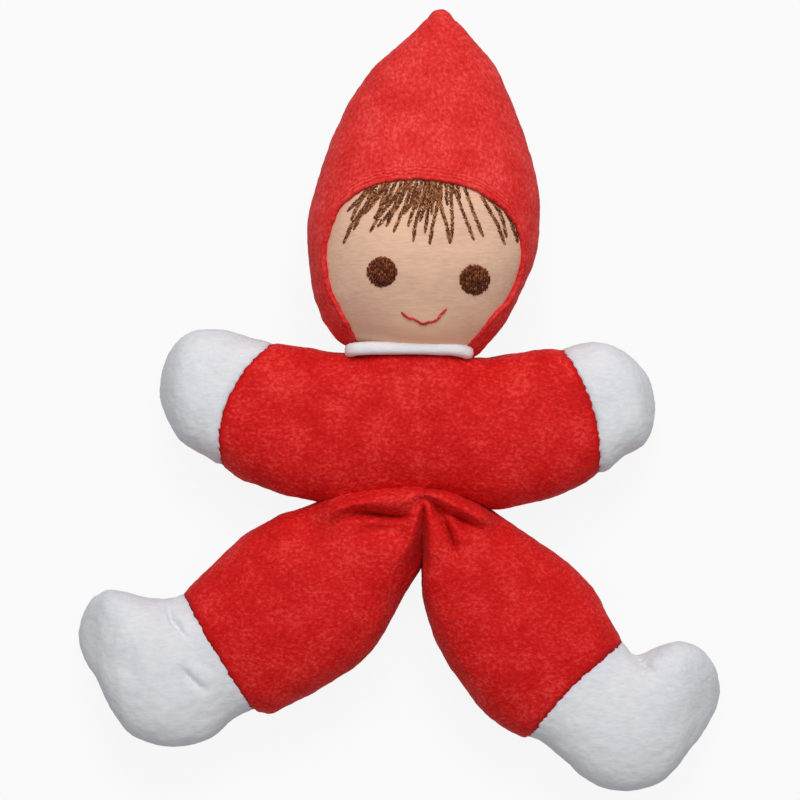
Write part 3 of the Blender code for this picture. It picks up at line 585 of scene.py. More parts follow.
RIGHT_FOOT_RIBS = (
    ((627, 648), (535, 738.5)), ((631, 653.5), (544, 743)), ((637, 655.5), (555, 751.5)),
    ((642, 654.5), (566, 760.5)), ((648, 652), (579, 773)), ((654, 649), (593, 783)),
    ((661, 646), (610, 789)), ((668, 643.5), (628, 790)), ((675, 642), (645, 787)),
    ((683, 642), (660, 781)), ((691, 644.5), (674, 768)), ((699, 648), (688, 751)),
    ((706, 654), (700, 735)), ((713, 662.5), (710, 719)), ((718, 673), (717, 705)),
    ((720, 682), (720, 692)),
)
LEFT_LEG_DEPTH_SHARES = (
    0.72, 0.84, 0.94, 0.99, 1.0, 1.0, 1.0, 1.0, 1.0, 0.99, 0.97, 0.95, 0.92, 0.90, 0.87,
    0.86, 0.86, 0.88, 0.90, 0.90, 0.89, 0.87, 0.82, 0.76, 0.68, 0.56, 0.43, 0.29, 0.15, 0.06,
)
RIGHT_LEG_DEPTH_SHARES = (
    0.72, 0.84, 0.94, 0.99, 1.0, 1.0, 1.0, 1.0, 1.0, 1.0, 0.99, 0.98, 0.96, 0.94, 0.92, 0.90, 0.87,
    0.86, 0.86, 0.87, 0.88, 0.89, 0.90, 0.90, 0.89, 0.87, 0.83, 0.76, 0.66, 0.54, 0.40, 0.24, 0.10,
)
# The folds at the gather, from the deepest up: each with its line, width, roundness, heights.
# The rim of the legs runs over the gather as one band, and the legs part below it.
PARTING_LINE = ((422.6, 500.5), (423.0, 515), (423.0, 533), (422.3, 550), (421.5, 567), (421, 580))
PARTING_HEIGHTS = (35.8, 32.0, 29.0, 26.0, 22.5, 20)
LOWER_PARTING_LINE = ((423.5, 543), (423, 555), (422.5, 567), (418, 583), (410, 602), (398, 624), (386, 644))
LOWER_PARTING_HEIGHTS = (26.0, 23.5, 22.0, 21, 20, 20, 20)
LEFT_LEG_FOLDS = (
    (((404, 529), (388, 531), (370, 530), (352, 531), (330, 532)), 9, 2, (34.0, 33.2, 33.6, 35, 36)),
    (((422.6, 495), (405, 500), (390, 502.5), (372, 503), (355, 505), (340, 509), (322, 518), (305, 528)),
     12.0, 2, (37.5, 37.5, 37.6, 37.6, 37.4, 37.0, 36.4, 36.0)),
    (((411, 515.5), (404, 517.5), (392, 517), (380, 515.5), (366, 513.5), (354, 514.5), (345, 518),
      (334, 526)),
     3.6, 1.3, (32.4, 29.8, 28.9, 28.9, 29.8, 31.2, 33.0, 35.2)),
    (PARTING_LINE, 3.4, 1, PARTING_HEIGHTS),
    (LOWER_PARTING_LINE, 9.0, 1, LOWER_PARTING_HEIGHTS),
    (((421, 502), (417, 513), (413.5, 525), (409.5, 538), (403, 553), (395, 570)),
     7.5, 2, (35.0, 36.2, 36.7, 36.8, 36.6, 36.4)),
)
RIGHT_LEG_FOLDS = (
    (((422.6, 495), (436, 498.5), (450, 504), (466, 511), (482, 519.5), (500, 531)),
     10.0, 2, (37.5, 37.5, 37.4, 37.3, 37.0, 36.8)),
    (((429, 502), (438, 508), (449, 515), (466, 522), (481, 529.5), (494, 538)),
     3.4, 1.3, (33.0, 29.6, 29.0, 30.4, 32.6, 36.0)),
    (((431, 503.5), (437.8, 509), (444.5, 519.5), (450, 533), (456, 553), (461, 570)),
     3.2, 1.3, (32.4, 28.8, 28.6, 30.6, 33.4, 36.4)),
    (PARTING_LINE, 2.8, 1, PARTING_HEIGHTS),
    (((425.5, 503), (428.5, 514), (431.5, 530), (435, 548), (440, 568)), 6.0, 2,
     (34.8, 36.2, 37.0, 37.2, 37.0)),
    (((450, 519), (458, 532), (468, 548)), 4.5, 2, (34.4, 36.0, 36.8)),
)
# Creases in the cloth: each with its line, its width and its depths
LEFT_LEG_CREASES = (
    (((345, 528), (330, 545)), 22, (0.0009, 0.0007)),
    (((164, 605), (170, 621), (179, 632), (187, 642)), 2.6, (0.0, 0.0016, 0.0014, 0.0)),
    (((174, 609), (181, 622), (188, 634)), 5, (0.0, -0.0008, 0.0)),
    (((176, 666), (187, 678), (197, 688), (208, 695)), 2.8, (0.0, 0.0018, 0.0018, 0.0)),
    (((186, 662), (198, 674), (210, 688)), 6, (0.0, -0.0009, 0.0)),
    (((128, 645), (127, 668), (132, 690)), 7, (0.0, 0.0008, 0.0)),
)
RIGHT_LEG_CREASES = (
    (((634, 656), (645, 664), (658, 675)), 4.2, (0.0008, 0.0018, 0.0)),
)
LEG_FILLING = 41
ANKLE_PULL = 0.00045
# How far the ribs next to the right ankle bow towards the knee, in the photograph, from
# a number of ribs before it
BOWS_BEFORE_ANKLE = 4
RIGHT_ANKLE_BOWS = (-2, -4.5, -6.5, -8, -5, -2)


def leg_rows(cover_ribs, foot_ribs, shares, ankle_bows, folds, creases):
    """The rows of one leg with its foot, and the row of its ankle."""
    ribs = cover_ribs + foot_ribs
    bows = np.zeros(len(ribs))
    first_bow = len(cover_ribs) - BOWS_BEFORE_ANKLE
    bows[first_bow:first_bow + len(ankle_bows)] = ankle_bows
    rows, ankle = stuffed_rows(ribs, np.array(shares) * LEG_DEPTH, bows, len(cover_ribs) - 1,
                               (LEG_SQUARENESS, FOOT_SQUARENESS))
    rows = pressed(swollen(laid_in_folds(rows, folds), BODY_SWELLS, LEG_FILLING), creases)
    return rested(ragged(pinched(rows, ankle, ANKLE_PULL), ankle)), ankle


legs = {
    "left": leg_rows(LEFT_LEG_RIBS, LEFT_FOOT_RIBS, LEFT_LEG_DEPTH_SHARES, (), LEFT_LEG_FOLDS,
                     LEFT_LEG_CREASES),
    "right": leg_rows(RIGHT_LEG_RIBS, RIGHT_FOOT_RIBS, RIGHT_LEG_DEPTH_SHARES, RIGHT_ANKLE_BOWS,
                      RIGHT_LEG_FOLDS, RIGHT_LEG_CREASES),
}
for side, (rows, ankle) in legs.items():
    leg = piece("leg_" + side,
                cloth_mesh(rows[:ankle + 1], seams={ankle: 1.0}, tuck_end=True, close_start="flat"),
                red_velour)
    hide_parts("leg_cover_" + side, "leg_filling_" + side)
    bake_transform(leg)

# Feet
# White velour feet, sewn on in the same way as the hands, with the toes turned outwards.
for side, (rows, ankle) in legs.items():
    foot = piece("sock_foot_" + side,
                 cloth_mesh(rows[ankle:], seams={0: 1.0}, tuck_start=True, close_end=True),
                 white_velour)
    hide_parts("foot_" + side)
    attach(foot, "leg_" + side)

# Head, with the face in front and the hood round it
# The head is one stuffed ball with a pointed hood sewn over it. Its sections run from the
# neck to the tip, in a frame that leans to the right with the head: across and along, in mm.
NECK_SPOT = (409.5, 350.0)
HEAD_LEAN = math.radians(5.0)
HEAD_SQUARENESS = 2.1
# along, half width, centre across, half depth, height of the middle
HEAD_SECTIONS_MM = (
    (-2.5, 15.0, 0.0, 6.5, 20.0), (-1.0, 19.2, 0.0, 9.0, 20.4), (0.0, 21.3, -0.2, 10.6, 20.8),
    (2.0, 23.6, -0.6, 13.4, 21.6), (4.0, 25.2, -0.65, 16.3, 22.6), (7.0, 27.7, -0.8, 19.6, 23.8),
    (10.0, 29.5, -0.45, 22.0, 24.8), (15.0, 31.7, -0.35, 24.9, 26.2), (20.0, 33.3, 0.0, 26.9, 27.3),
    (25.0, 34.7, 0.4, 28.2, 28.1), (30.0, 36.0, 0.8, 28.9, 28.5), (35.0, 36.8, 0.95, 29.1, 28.6),
    (40.0, 37.0, 1.05, 29.1, 28.5), (45.0, 36.5, 1.3, 28.9, 28.3), (50.0, 35.8, 1.55, 28.3, 27.9),
    (55.0, 34.8, 1.6, 27.5, 27.3), (60.0, 33.5, 1.5, 26.4, 26.7), (65.0, 32.0, 1.35, 24.9, 25.9),
    (70.0, 30.1, 1.3, 23.2, 25.1), (75.0, 28.2, 1.05, 21.3, 24.3), (80.0, 25.8, 1.05, 19.1, 23.5),
    (85.0, 23.1, 1.1, 16.7, 22.8), (90.0, 20.1, 1.3, 14.2, 22.3), (95.0, 15.9, 1.8, 11.6, 22.0),
    (98.0, 12.9, 1.85, 9.8, 22.0), (100.0, 10.7, 1.8, 8.5, 22.0), (102.0, 8.7, 1.6, 7.2, 22.0),
    (104.0, 7.0, 1.35, 5.7, 22.0), (106.0, 4.8, 1.0, 3.6, 22.0),
)
head_table = np.array(HEAD_SECTIONS_MM) * MM


def head_spot(across, along):
    """The spot in the photograph of a place in the head's frame, in metres."""
    lean_x = across * math.cos(HEAD_LEAN) + along * math.sin(HEAD_LEAN)
    lean_y = across * math.sin(HEAD_LEAN) - along * math.cos(HEAD_LEAN)
    return np.stack((NECK_SPOT[0] + lean_x / PIXEL, NECK_SPOT[1] + lean_y / PIXEL), axis=-1)


def head_at(along):
    """The half width, the centre across, the half depth and the height of the head's sections."""
    return np.moveaxis(smooth_at(head_table[:, 0], head_table[:, 1:], along), -1, 0)


def head_front(spots, inset=0.0):
    """The front of the head under spots in the photograph, a stated distance inside it."""
    x, y = np.moveaxis((np.asarray(spots, float) - NECK_SPOT) * (PIXEL, -PIXEL), -1, 0)
    across = x * math.cos(HEAD_LEAN) - y * math.sin(HEAD_LEAN)
    along = x * math.sin(HEAD_LEAN) + y * math.cos(HEAD_LEAN)
    width, middle, depth, height = head_at(np.clip(along.ravel(), head_table[0, 0], head_table[-1, 0]))
    share = np.clip(np.abs(across.ravel() - middle) / (width - inset), 0.0, 0.9995)
    rise = (1.0 - share**HEAD_SQUARENESS) ** (1.0 / HEAD_SQUARENESS)
    return seen_at(spots, (height + (depth - inset) * rise).reshape(across.shape))


# Face
# A panel of peach jersey over the stuffed head, with a soft chin and cheeks. Its edge is
# under the turned edge of the hood, whose outline here starts at the left of the collar.
HOOD_EDGE = (
    (366.5, 356), (359.5, 346), (352.5, 334), (346, 322), (337, 306), (328.5, 288), (324.3, 264),
    (325.3, 243), (331, 224), (340, 206), (358, 191), (380, 182.5), (403, 179), (428, 179),
    (449, 182), (467, 186), (484, 194), (499.5, 205), (512, 218), (521, 236), (523.8, 256),
    (519.5, 278), (507.5, 302.5), (495.5, 315), (484, 328.5), (476, 336.5), (467, 345), (460, 356),
)
FACE_CENTRE = (424, 268)
FACE_INSET = 0.0012
FACE_MARGIN_SHARE = 1.07
FACE_SWELLS = ((0.011, 0.0003, 81), (0.0016, 0.00006, 82))
# Round the chin the jersey goes to a warmer tone, painted much lighter than the face: painted light where
# the chin turns down away from the lamp. The chin is also made fuller there.
CHIN_SPOT = (419, 352)
CHIN_REACH = (50, 36)
CHIN_FULLNESS = 0.0047
PEACH = (0.72, 0.435, 0.305)
PEACH_PALE = (0.81, 0.545, 0.395)
PEACH_WARM_AND_CHIN_LIGHT = (1.0, 0.64, 0.42)
# How the loops are drawn out, and which of them are pale, warm and smooth
KNIT_STRETCH = (0.13, 1.0, 0.3)
PALE_RANGE = (0.36, 0.66, 0.0, 0.85)
WARM_RANGE = (0.45, 0.75, 0.0, 0.35)
WARM_PATCHES = 70.0
KNIT_ROUGHNESS = (0.95, 0.70)
KNIT_BUMP = 0.5
KNIT_GLOSS = 0.15
KNIT_SHEEN_ROUGHNESS = 0.5


def places_along(path, way, gone):
    """Places on a line in the photograph, at distances from its start."""
    return np.stack([np.interp(gone, way, path[:, axis]) for axis in (0, 1)], axis=-1)


def smooth_path(spots, count):
    """Spots evenly along a smooth line through the given ones."""
    spots = np.array(spots, float)
    way = lengths_along(spots)
    fine = smooth_at(way, spots, np.linspace(0.0, way[-1], 12 * len(spots)))
    way = lengths_along(fine)
    return places_along(fine, way, np.linspace(0.0, way[-1], count))


def near_chin(points):
    """How near points of the face are to the chin, from 0 to 1: how full the chin is made, and how much
    painted light brightens it.
    """
    return np.exp(-(((photo_spot(points) - CHIN_SPOT) / CHIN_REACH) ** 2).sum(axis=-1))


hood_edge = smooth_path(HOOD_EDGE, 300)


def face_rows():
    """Rings of the face panel from its middle to under the hood."""
    chin = np.linspace(hood_edge[-1], hood_edge[0], 42)[1:-1]
    shares = np.linspace(0.004, 1.0, 110)[:, None, None]
    to_ring = np.concatenate((hood_edge, chin)) - FACE_CENTRE
    rings = head_front(FACE_CENTRE + to_ring * FACE_MARGIN_SHARE * shares, FACE_INSET)
    rings[..., 2] += CHIN_FULLNESS * near_chin(rings)
    if straight_out(rings)[..., 2].sum() < 0.0:
        rings = rings[:, ::-1].copy()
    rings[..., 2] += swell(rings, FACE_SWELLS)
    return rings


def make_knit_group():
    """Fine jersey: rows of loops, drawn-out fibres, warm patches, and painted light near the chin."""
    group, given, result, place = new_group("jersey_knit", {
        "Cloth": "Color", "Pale": "Color", "Warm And Chin Light": "Color", "Row Height": "Float", "near_chin": "Float"})
    fine = combined(group, "DIVIDE", 1.0, given["Row Height"])
    drawn_out = node_in(group, "ShaderNodeMapping", {"Vector": place, "Scale": KNIT_STRETCH}).outputs[0]
    fibres = noise(group, drawn_out, fine, detail=3.0, roughness=0.6, distortion=0.3)
    grain = noise(group, place, fine, roughness=0.6)
    warm = spread(group, noise(group, place, WARM_PATCHES), *WARM_RANGE)
    # Painted light: near the chin the colour goes to the warm, much lighter shade as well.
    warm_and_chin_light = combined(group, "MAXIMUM", warm, given["near_chin"])
    cloth = mixed_colour(group, spread(group, fibres, *PALE_RANGE), given["Cloth"], given["Pale"])
    filled(group, result, {
        "Colour": mixed_colour(group, warm_and_chin_light, cloth, given["Warm And Chin Light"]),
        "Height": combined(group, "ADD", fibres, grain),
        "Roughness": spread(group, fibres, 0.0, 1.0, *KNIT_ROUGHNESS)})
    return group


jersey_knit = make_knit_group()


def jersey(name, cloth, pale, warm, row_height, bump_depth, sheen_weight):
    """A jersey material from its three shades, the height of its rows and its slight fuzz."""
    return cloth_material(
        name, jersey_knit, "near_chin",
        {"Cloth": cloth, "Pale": pale, "Warm And Chin Light": warm, "Row Height": row_height}, KNIT_BUMP, bump_depth,
        {"Specular IOR Level": KNIT_GLOSS, "Sheen Weight": sheen_weight,
         "Sheen Roughness": KNIT_SHEEN_ROUGHNESS})


face_jersey = jersey("doll_face_jersey", PEACH, PEACH_PALE, PEACH_WARM_AND_CHIN_LIGHT,
                     row_height=0.0006, bump_depth=0.00010, sheen_weight=0.06)
rings = face_rows()
# The face carries its nearness to the chin, for the painted light there.
face = piece("face_jersey_panel", cloth_mesh(rings, close_start=True, near_chin=near_chin(rings).ravel()),
             face_jersey)
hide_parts("face_panel", "head_filling")
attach(face, "head")

# Hood
# A pointed hood of red velour that covers the back and the sides of the head, sewn at the
# back, with the face cloth showing in its opening. A gathered nub closes its tip.
HOOD_CUT_OUT = 5.0
# The opening runs on under the collar, and is only cut through the front of the hood.
UNDER_CHIN = ((456, 372), (368, 372))
FRONT_HEIGHT = 0.024
AROUND_HOOD = 260
# The pale tips of the hood's pile carry a painted sheen, as on the rest of the red velour.
HOOD_DEEP = (0.55, 0.009, 0.008)
HOOD_PILE = (0.72, 0.024, 0.021)
HOOD_TIPS_SHEEN = (0.88, 0.080, 0.069)
HOOD_FILLING = 91
HOOD_SWELLS = ((0.014, 0.00026, 0), (0.0065, 0.00013, 1), (0.0021, 0.00014, 2), (0.0011, 0.000084, 3))
BACK_SEAM = (((414, 356), (424, 240), (436, 120), (441, 20)), 3.5, (0.0009, 0.0009, 0.0009))
hood_velour = velour(
    "doll_hood_velour", (HOOD_DEEP, HOOD_PILE, HOOD_TIPS_SHEEN), RED_SHEEN, sheen_weight=0.05, gloss=0.16,
    fleck_size=0.0010, brushed_size=0.009, stretch=(1.0, 0.72, 0.8), bump_strength=0.55)


def head_rows():
    """Rows round the whole head from the neck to the tip."""
    along = np.arange(head_table[0, 0], head_table[-1, 0] + 0.0004, ROW_SPACING)
    width, middle, depth, height = head_at(along)[..., None]
    side, rise = section_round(AROUND_HOOD, 2.0 / HEAD_SQUARENESS)
    across = middle + width * side
    spots = head_spot(across, np.broadcast_to(along[:, None], across.shape))
    return turned_out(seen_at(spots, height + depth * rise))


def inside_line(spots, line):
    """Which spots lie inside a closed line."""
    x, y = spots[..., 0], spots[..., 1]
    inside = np.zeros(x.shape, bool)
    for (x1, y1), (x2, y2) in zip(line, np.roll(line, -1, axis=0)):
        crosses = (y1 > y) != (y2 > y)
        reach = x1 + (y - y1) * (x2 - x1) / (y2 - y1 if y2 != y1 else 1e-9)
        inside ^= crosses & (x < reach)
    return inside


hood_rows = rested(pressed(swollen(head_rows(), HOOD_SWELLS, HOOD_FILLING), (BACK_SEAM,), front=-1.0))
hood_points = hood_rows.reshape(-1, 3)
hood_faces = grid_faces(len(hood_rows), AROUND_HOOD)
head_tree = BVHTree.FromPolygons(hood_points.tolist(), hood_faces.tolist())

centre_of_edge = hood_edge.mean(axis=0)
to_edge = hood_edge - centre_of_edge
cut_line = centre_of_edge + to_edge * (1.0 + HOOD_CUT_OUT / np.linalg.norm(to_edge, axis=1, keepdims=True))
cut_line = np.concatenate((cut_line, UNDER_CHIN))
cut_out = inside_line(photo_spot(hood_points), cut_line) & (hood_points[:, 2] > FRONT_HEIGHT)
open_hood = new_mesh(hood_points, hood_faces[~cut_out[hood_faces].all(axis=1)].tolist())
open_hood.validate()
hood = piece("pointed_hood", open_hood, hood_velour)
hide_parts("hood_front", "hood_back")
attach(hood, "head")

# Turned edge of the hood
# The edge of the hood is turned under and topstitched, which leaves a soft raised rim round
# the face and fine lines beside it.
# How far out from the opening each line of the rim lies, how high above the hood, in mm, and
# how much darker its pile is there: partly pile pressed by the stitching, partly painted shade in
# the grooves and under the turned edge. Under zero the pile is lighter, a painted highlight on the
# raised lines.
RIM_PROFILE_MM = (
    (1.3, -1.9, 0.5), (0.5, -1.7, 0.5), (0.1, -1.2, 0.5), (-0.15, -0.6, 0.4), (-0.1, 0.0, 0.1),
    (0.15, 0.36, 0.0), (0.55, 0.52, -0.3), (0.95, 0.48, -0.2), (1.3, 0.30, 0.3), (1.5, 0.16, 0.5),
    (1.7, 0.26, 0.1), (2.0, 0.38, -0.7), (2.35, 0.26, -0.1), (2.6, 0.08, 0.4), (2.85, 0.20, 0.0),
    (3.15, 0.28, -0.7), (3.5, 0.18, 0.0), (3.75, 0.05, 0.3), (4.05, 0.12, 0.0), (4.4, 0.12, -0.3),
    (4.9, -0.05, 0.0), (5.4, -0.5, 0.0),
)
# The rim follows the hood from the first of these places out, and its lines fade up to the second.
RIM_ON_HOOD = 0.8
RIM_FADE_END = 4.8
# The lines of stitching show best over the forehead, and are lost down both sides.
FADE_SPOTS = (186, 236)
FADE_SHARES = (1.0, 0.3)
GAP_SHARE = 0.35
GAP_SIZE = 0.006
EDGE_WANDER = ((0.0021, 0.00034, 6), (0.00084, 0.00017, 8))
RIM_SWELLS = ((0.0016, 0.00012, 7), (0.0008, 0.00007, 4))
clear_share = np.interp(hood_edge[:, 1], FADE_SPOTS, FADE_SHARES)
clear_share *= 1.0 - GAP_SHARE * np.clip(lumps(head_front(hood_edge), GAP_SIZE, 14), 0.0, 1.0)


def rim_mesh():
    """The raised rim that follows the opening of the hood."""
    base = head_front(hood_edge)
    across = head_front(hood_edge + (0.5, 0.0)) - base
    down = head_front(hood_edge + (0.0, 0.5)) - base
    normal = unit(np.cross(down, across))
    outward = unit(np.cross(np.gradient(base, axis=0), normal))
    if ((seen_at(FACE_CENTRE, 0.05) - base) * outward).sum() > 0.0:
        outward = -outward
    points = []
    for start, step, up, shift, share in zip(base, outward, normal, swell(base, EDGE_WANDER), clear_share):
        for out, lift, _ in RIM_PROFILE_MM:
            near, facing, _, _ = head_tree.find_nearest(Vector(start + step * (out * MM + shift)))
            facing = np.array(facing) if out > RIM_ON_HOOD else up
            clear = share if RIM_ON_HOOD < out < RIM_FADE_END else 1.0
            points.append(np.array(near) + facing * lift * clear * MM)
    points = np.array(points)
    points += swell(points, RIM_SWELLS)[:, None]
    # Painted shade and highlight: the pile is darker in the grooves and under the turned edge, and lighter
    # on the raised lines, besides being pressed by the stitching.
    pressed_pile_and_relief_light = clear_share[:, None] * np.array(RIM_PROFILE_MM)[:, 2]
    mesh = new_mesh(points, grid_faces(len(base), len(RIM_PROFILE_MM), closed=False).tolist(),
                    near_seam=pressed_pile_and_relief_light.ravel())
    if sum(p.normal.z * p.area for p in mesh.polygons) < 0.0:
        mesh.flip_normals()
    return mesh


rim = piece("hood_rim", rim_mesh(), hood_velour)
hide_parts("hood_hem")
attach(rim, "head")

# Tip of the hood
# The cloth is gathered and turned in at the point, which leaves a small soft nub.
NUB_RIBS = (
    ((420, 31), (464, 31)), ((422, 26.5), (460.5, 26.5)), ((425, 22), (456.7, 22)),
    ((428, 17.6), (453, 17.6)), ((431.2, 13.4), (450, 13.6)), ((434.5, 10.4), (447.2, 10.8)),
    ((438.5, 9.2), (443.5, 9.3)),
)
NUB_DEPTH = 0.0060
NUB_HEIGHT = 0.0215
NUB_DEPTH_SHARES = (0.9, 1.0, 0.84, 0.70, 0.54, 0.34, 0.12)
NUB_ROWS = 28
AROUND_NUB = 64
NUB_PLEATS = 9
NUB_PLEAT_DEPTH = 0.03
NUB_SWELLS = ((0.0018, 0.00015, 5),)


def pleats(count, number, depth):
    """The sides and heights round a gathered section, and how far the pleats stand out."""
    side, rise = section_round(count)
    return side, rise, 1.0 + depth * np.cos(number * np.arange(count) * 2.0 * math.pi / count)


side, rise, pleat = pleats(AROUND_NUB, NUB_PLEATS, NUB_PLEAT_DEPTH)
nub_rows = []
for (one, other), share in zip(np.array(NUB_RIBS), NUB_DEPTH_SHARES):
    across = (one + other) / 2 + (one - other) / 2 * (side * pleat)[:, None]
    nub_rows.append(seen_at(across, NUB_HEIGHT + NUB_DEPTH * share * rise))
rib_numbers = np.arange(len(NUB_RIBS))
nub_rows = turned_out(smooth_at(rib_numbers, np.array(nub_rows), np.linspace(0, rib_numbers[-1], NUB_ROWS)))
nub = piece("hood_nub", cloth_mesh(swollen(nub_rows, NUB_SWELLS), close_start=True, close_end=True),
            hood_velour)
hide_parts("hood_tip")
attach(nub, "head")

# Neck and collar
# Under the head the cloth is gathered into a short neck. A rolled band of white jersey is
# sewn round it as a collar.
NECK_HALF_WIDTH = 0.0170
NECK_HALF_DEPTH = 0.0082
NECK_HEIGHT = 0.0205
NECK_FROM = -0.0035
NECK_TO = 0.0030
NECK_ROWS = 12
AROUND_NECK = 120
NECK_PLEATS = 24
NECK_PLEAT_DEPTH = 0.020
# How far the tie thread draws the neck in, and how wide that goes
NECK_TIE_SHARE = 0.05
NECK_TIE_WIDTH = 0.002
# Each with its height above the table, in mm
COLLAR_SPOTS = (
    (350.0, 351.0, 24.0), (350.4, 350.4, 28.5), (353.5, 349.4, 31.5), (361, 348.6, 33.6), (375, 348.0, 35.4),
    (395, 347.8, 36.7), (415, 347.8, 37.2), (435, 348.1, 36.8), (450, 348.9, 35.4), (459, 350.2, 33.6),
    (465.5, 351.8, 31.2), (467.6, 352.8, 27.6), (467.8, 353.4, 24.0),
)
COLLAR_BAND = 0.0021
COLLAR_THICKNESS = 0.0015
COLLAR_FULLNESS = 0.0014
COLLAR_POWER = 0.8
AROUND_COLLAR = 24
COLLAR_SWELLS = ((0.0028, 0.00012, 9),)
# The back of the roll sinks from its ends to its middle, and most of that near the ends.
COLLAR_BACK_ENDS = 0.019
COLLAR_BACK = 0.0085
COLLAR_BACK_POWER = 0.45
WHITE_JERSEY = (0.82, 0.81, 0.84)
WHITE_JERSEY_PALE = (0.90, 0.89, 0.91)
WHITE_JERSEY_SHADE = (0.74, 0.74, 0.79)
white_jersey = jersey("doll_collar_jersey", WHITE_JERSEY, WHITE_JERSEY_PALE, WHITE_JERSEY_SHADE,
                      row_height=0.0005, bump_depth=0.0002, sheen_weight=0.1)


def neck_rows():
    """The gathered neck between the body and the head."""
    side, rise, pleat = pleats(AROUND_NECK, NECK_PLEATS, NECK_PLEAT_DEPTH)
    rows = []
    for along in np.linspace(NECK_FROM, NECK_TO, NECK_ROWS):
        gather = pleat - NECK_TIE_SHARE * math.exp(-(along / NECK_TIE_WIDTH) ** 2)
        spots = head_spot(NECK_HALF_WIDTH * gather * side, np.full(AROUND_NECK, along))
        rows.append(seen_at(spots, NECK_HEIGHT + NECK_HALF_DEPTH * gather * rise))
    return turned_out(np.array(rows))


neck = piece("gathered_neck", cloth_mesh(neck_rows(), close_start=True, close_end=True),
             face_jersey)
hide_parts("neck_core", "neck_tie")
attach(neck, "neck")


def roll_rows(path, half_width, half_thickness):
    """Rows round a roll along a closed path, with half its thickness at each point of it."""
    ahead = unit(np.roll(path, -1, axis=0) - np.roll(path, 1, axis=0))
    wide = unit((0.0, 1.0, 0.0) - ahead * ahead[:, 1:2])
    thin = np.cross(ahead, wide)
    side, rise = section_round(AROUND_COLLAR, COLLAR_POWER)
    return (path[:, None] + half_width * wide[:, None] * side[:, None]
            + half_thickness[:, None, None] * thin[:, None] * rise[:, None])


def collar_mesh():
    """The rolled band: its front follows the photograph and its back goes round the neck."""
    line = np.array(COLLAR_SPOTS)
    numbers = np.arange(len(line))
    fine = smooth_at(numbers, line, np.linspace(0, numbers[-1], 120))
    full = COLLAR_FULLNESS * np.sin(np.linspace(0.0, math.pi, len(fine)))
    front = seen_at(fine[:, :2], fine[:, 2] * MM - full)
    share = np.linspace(0.0, 1.0, 92)[1:-1]
    low = COLLAR_BACK_ENDS + (COLLAR_BACK - COLLAR_BACK_ENDS) * np.sin(math.pi * share) ** COLLAR_BACK_POWER
    back = smooth_at(numbers, line[::-1, :2], share * numbers[-1])
    path = np.concatenate((front, seen_at(back, low)))
    rows = roll_rows(path, COLLAR_BAND, COLLAR_THICKNESS + np.append(full, np.zeros(len(back))))
    rows = np.concatenate((rows, rows[:1]))
    return cloth_mesh(turned_out(swollen(rows, COLLAR_SWELLS)))


collar = piece("rolled_collar", collar_mesh(), white_jersey)
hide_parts("collar_band")
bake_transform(collar)

# Embroidery
# The eyes, the mouth and the fringe are machine embroidery on the face panel: short satin
# stitches of shiny rayon thread that dive in and out of the jersey.
THREAD = 0.00033
# Each thread has a dark shade, its own colour, and a light shade that is a painted highlight of the shiny
# thread.
BROWN_DARK = (0.085, 0.020, 0.006)
BROWN = (0.24, 0.070, 0.020)
BROWN_HIGHLIGHT = (0.46, 0.19, 0.072)
EYE_DARK = (0.050, 0.009, 0.002)
EYE_BROWN = (0.140, 0.026, 0.004)
EYE_HIGHLIGHT = (0.32, 0.085, 0.020)
STRAND_SCALE = 1300.0
PLY_SCALE = 4200.0
# Where the thread turns to its dark shade, and on to its painted highlight
THREAD_RANGE = (0.62, 1.10)
SHINE_RANGE = (1.05, 1.50)
THREAD_ROUGHNESS = (0.7, 0.35)
THREAD_BUMP = 0.6
THREAD_BUMP_DEPTH = 0.0001
THREAD_GLOSS = 0.22


def make_thread_group():
    """Twisted thread: plies across its length, stitches of different shade, and a painted highlight on the
    lightest.
    """
    group, given, result, place = new_group("twisted_thread", {
        "Dark": "Color", "Thread": "Color", "Light": "Color", "stitch_shade": "Float"})
    plies = noise(group, place, PLY_SCALE)
    uneven = combined(group, "ADD", noise(group, place, STRAND_SCALE), given["stitch_shade"])
    thread = mixed_colour(group, spread(group, uneven, *THREAD_RANGE), given["Dark"], given["Thread"])
    filled(group, result, {
        "Colour": mixed_colour(group, spread(group, uneven, *SHINE_RANGE), thread, given["Light"]),
        "Height": plies, "Roughness": spread(group, plies, 0.0, 1.0, *THREAD_ROUGHNESS)})
    return group


twisted_thread = make_thread_group()


def thread_material(name, dark, middle, light):
    """A material for one colour of embroidery thread."""
    return cloth_material(
        name, twisted_thread, "stitch_shade", {"Dark": dark, "Thread": middle, "Light": light},
        THREAD_BUMP, THREAD_BUMP_DEPTH, {"Specular IOR Level": THREAD_GLOSS})


brown_thread = thread_material("doll_hair_thread", BROWN_DARK, BROWN, BROWN_HIGHLIGHT)
eye_thread = thread_material("doll_eye_thread", EYE_DARK, EYE_BROWN, EYE_HIGHLIGHT)


def surface_of(*names):
    """The cloth of some pieces, to lay stitches on."""
    points, faces = [], []
    for name in names:
        mesh = bpy.data.objects[name].data
        faces.extend([len(points) + v for v in p.vertices] for p in mesh.polygons)
        points.extend(v.co.copy() for v in mesh.vertices)
    return BVHTree.FromPolygons(points, faces)


face_surface = surface_of("face_jersey_panel")


def on_cloth(surface, spots, lift):
    """Places a stated distance above the cloth, seen at spots in the photograph."""
    camera_place = np.array((*PHOTO_MIDDLE, MIDDLE_HEIGHT + CAMERA_DISTANCE))
    found = []
    for spot, rise in zip(spots, lift):
        way = seen_at(spot, MIDDLE_HEIGHT) - camera_place
        hit, facing, _, _ = surface.ray_cast(Vector(camera_place), Vector(way).normalized())
        if hit is None:
            hit, facing, _, _ = surface.find_nearest(Vector(head_front(spot)))
        if facing.z < 0.0:
            facing = -facing
        found.append(np.array(hit + facing * float(rise)))
    return np.array(found)


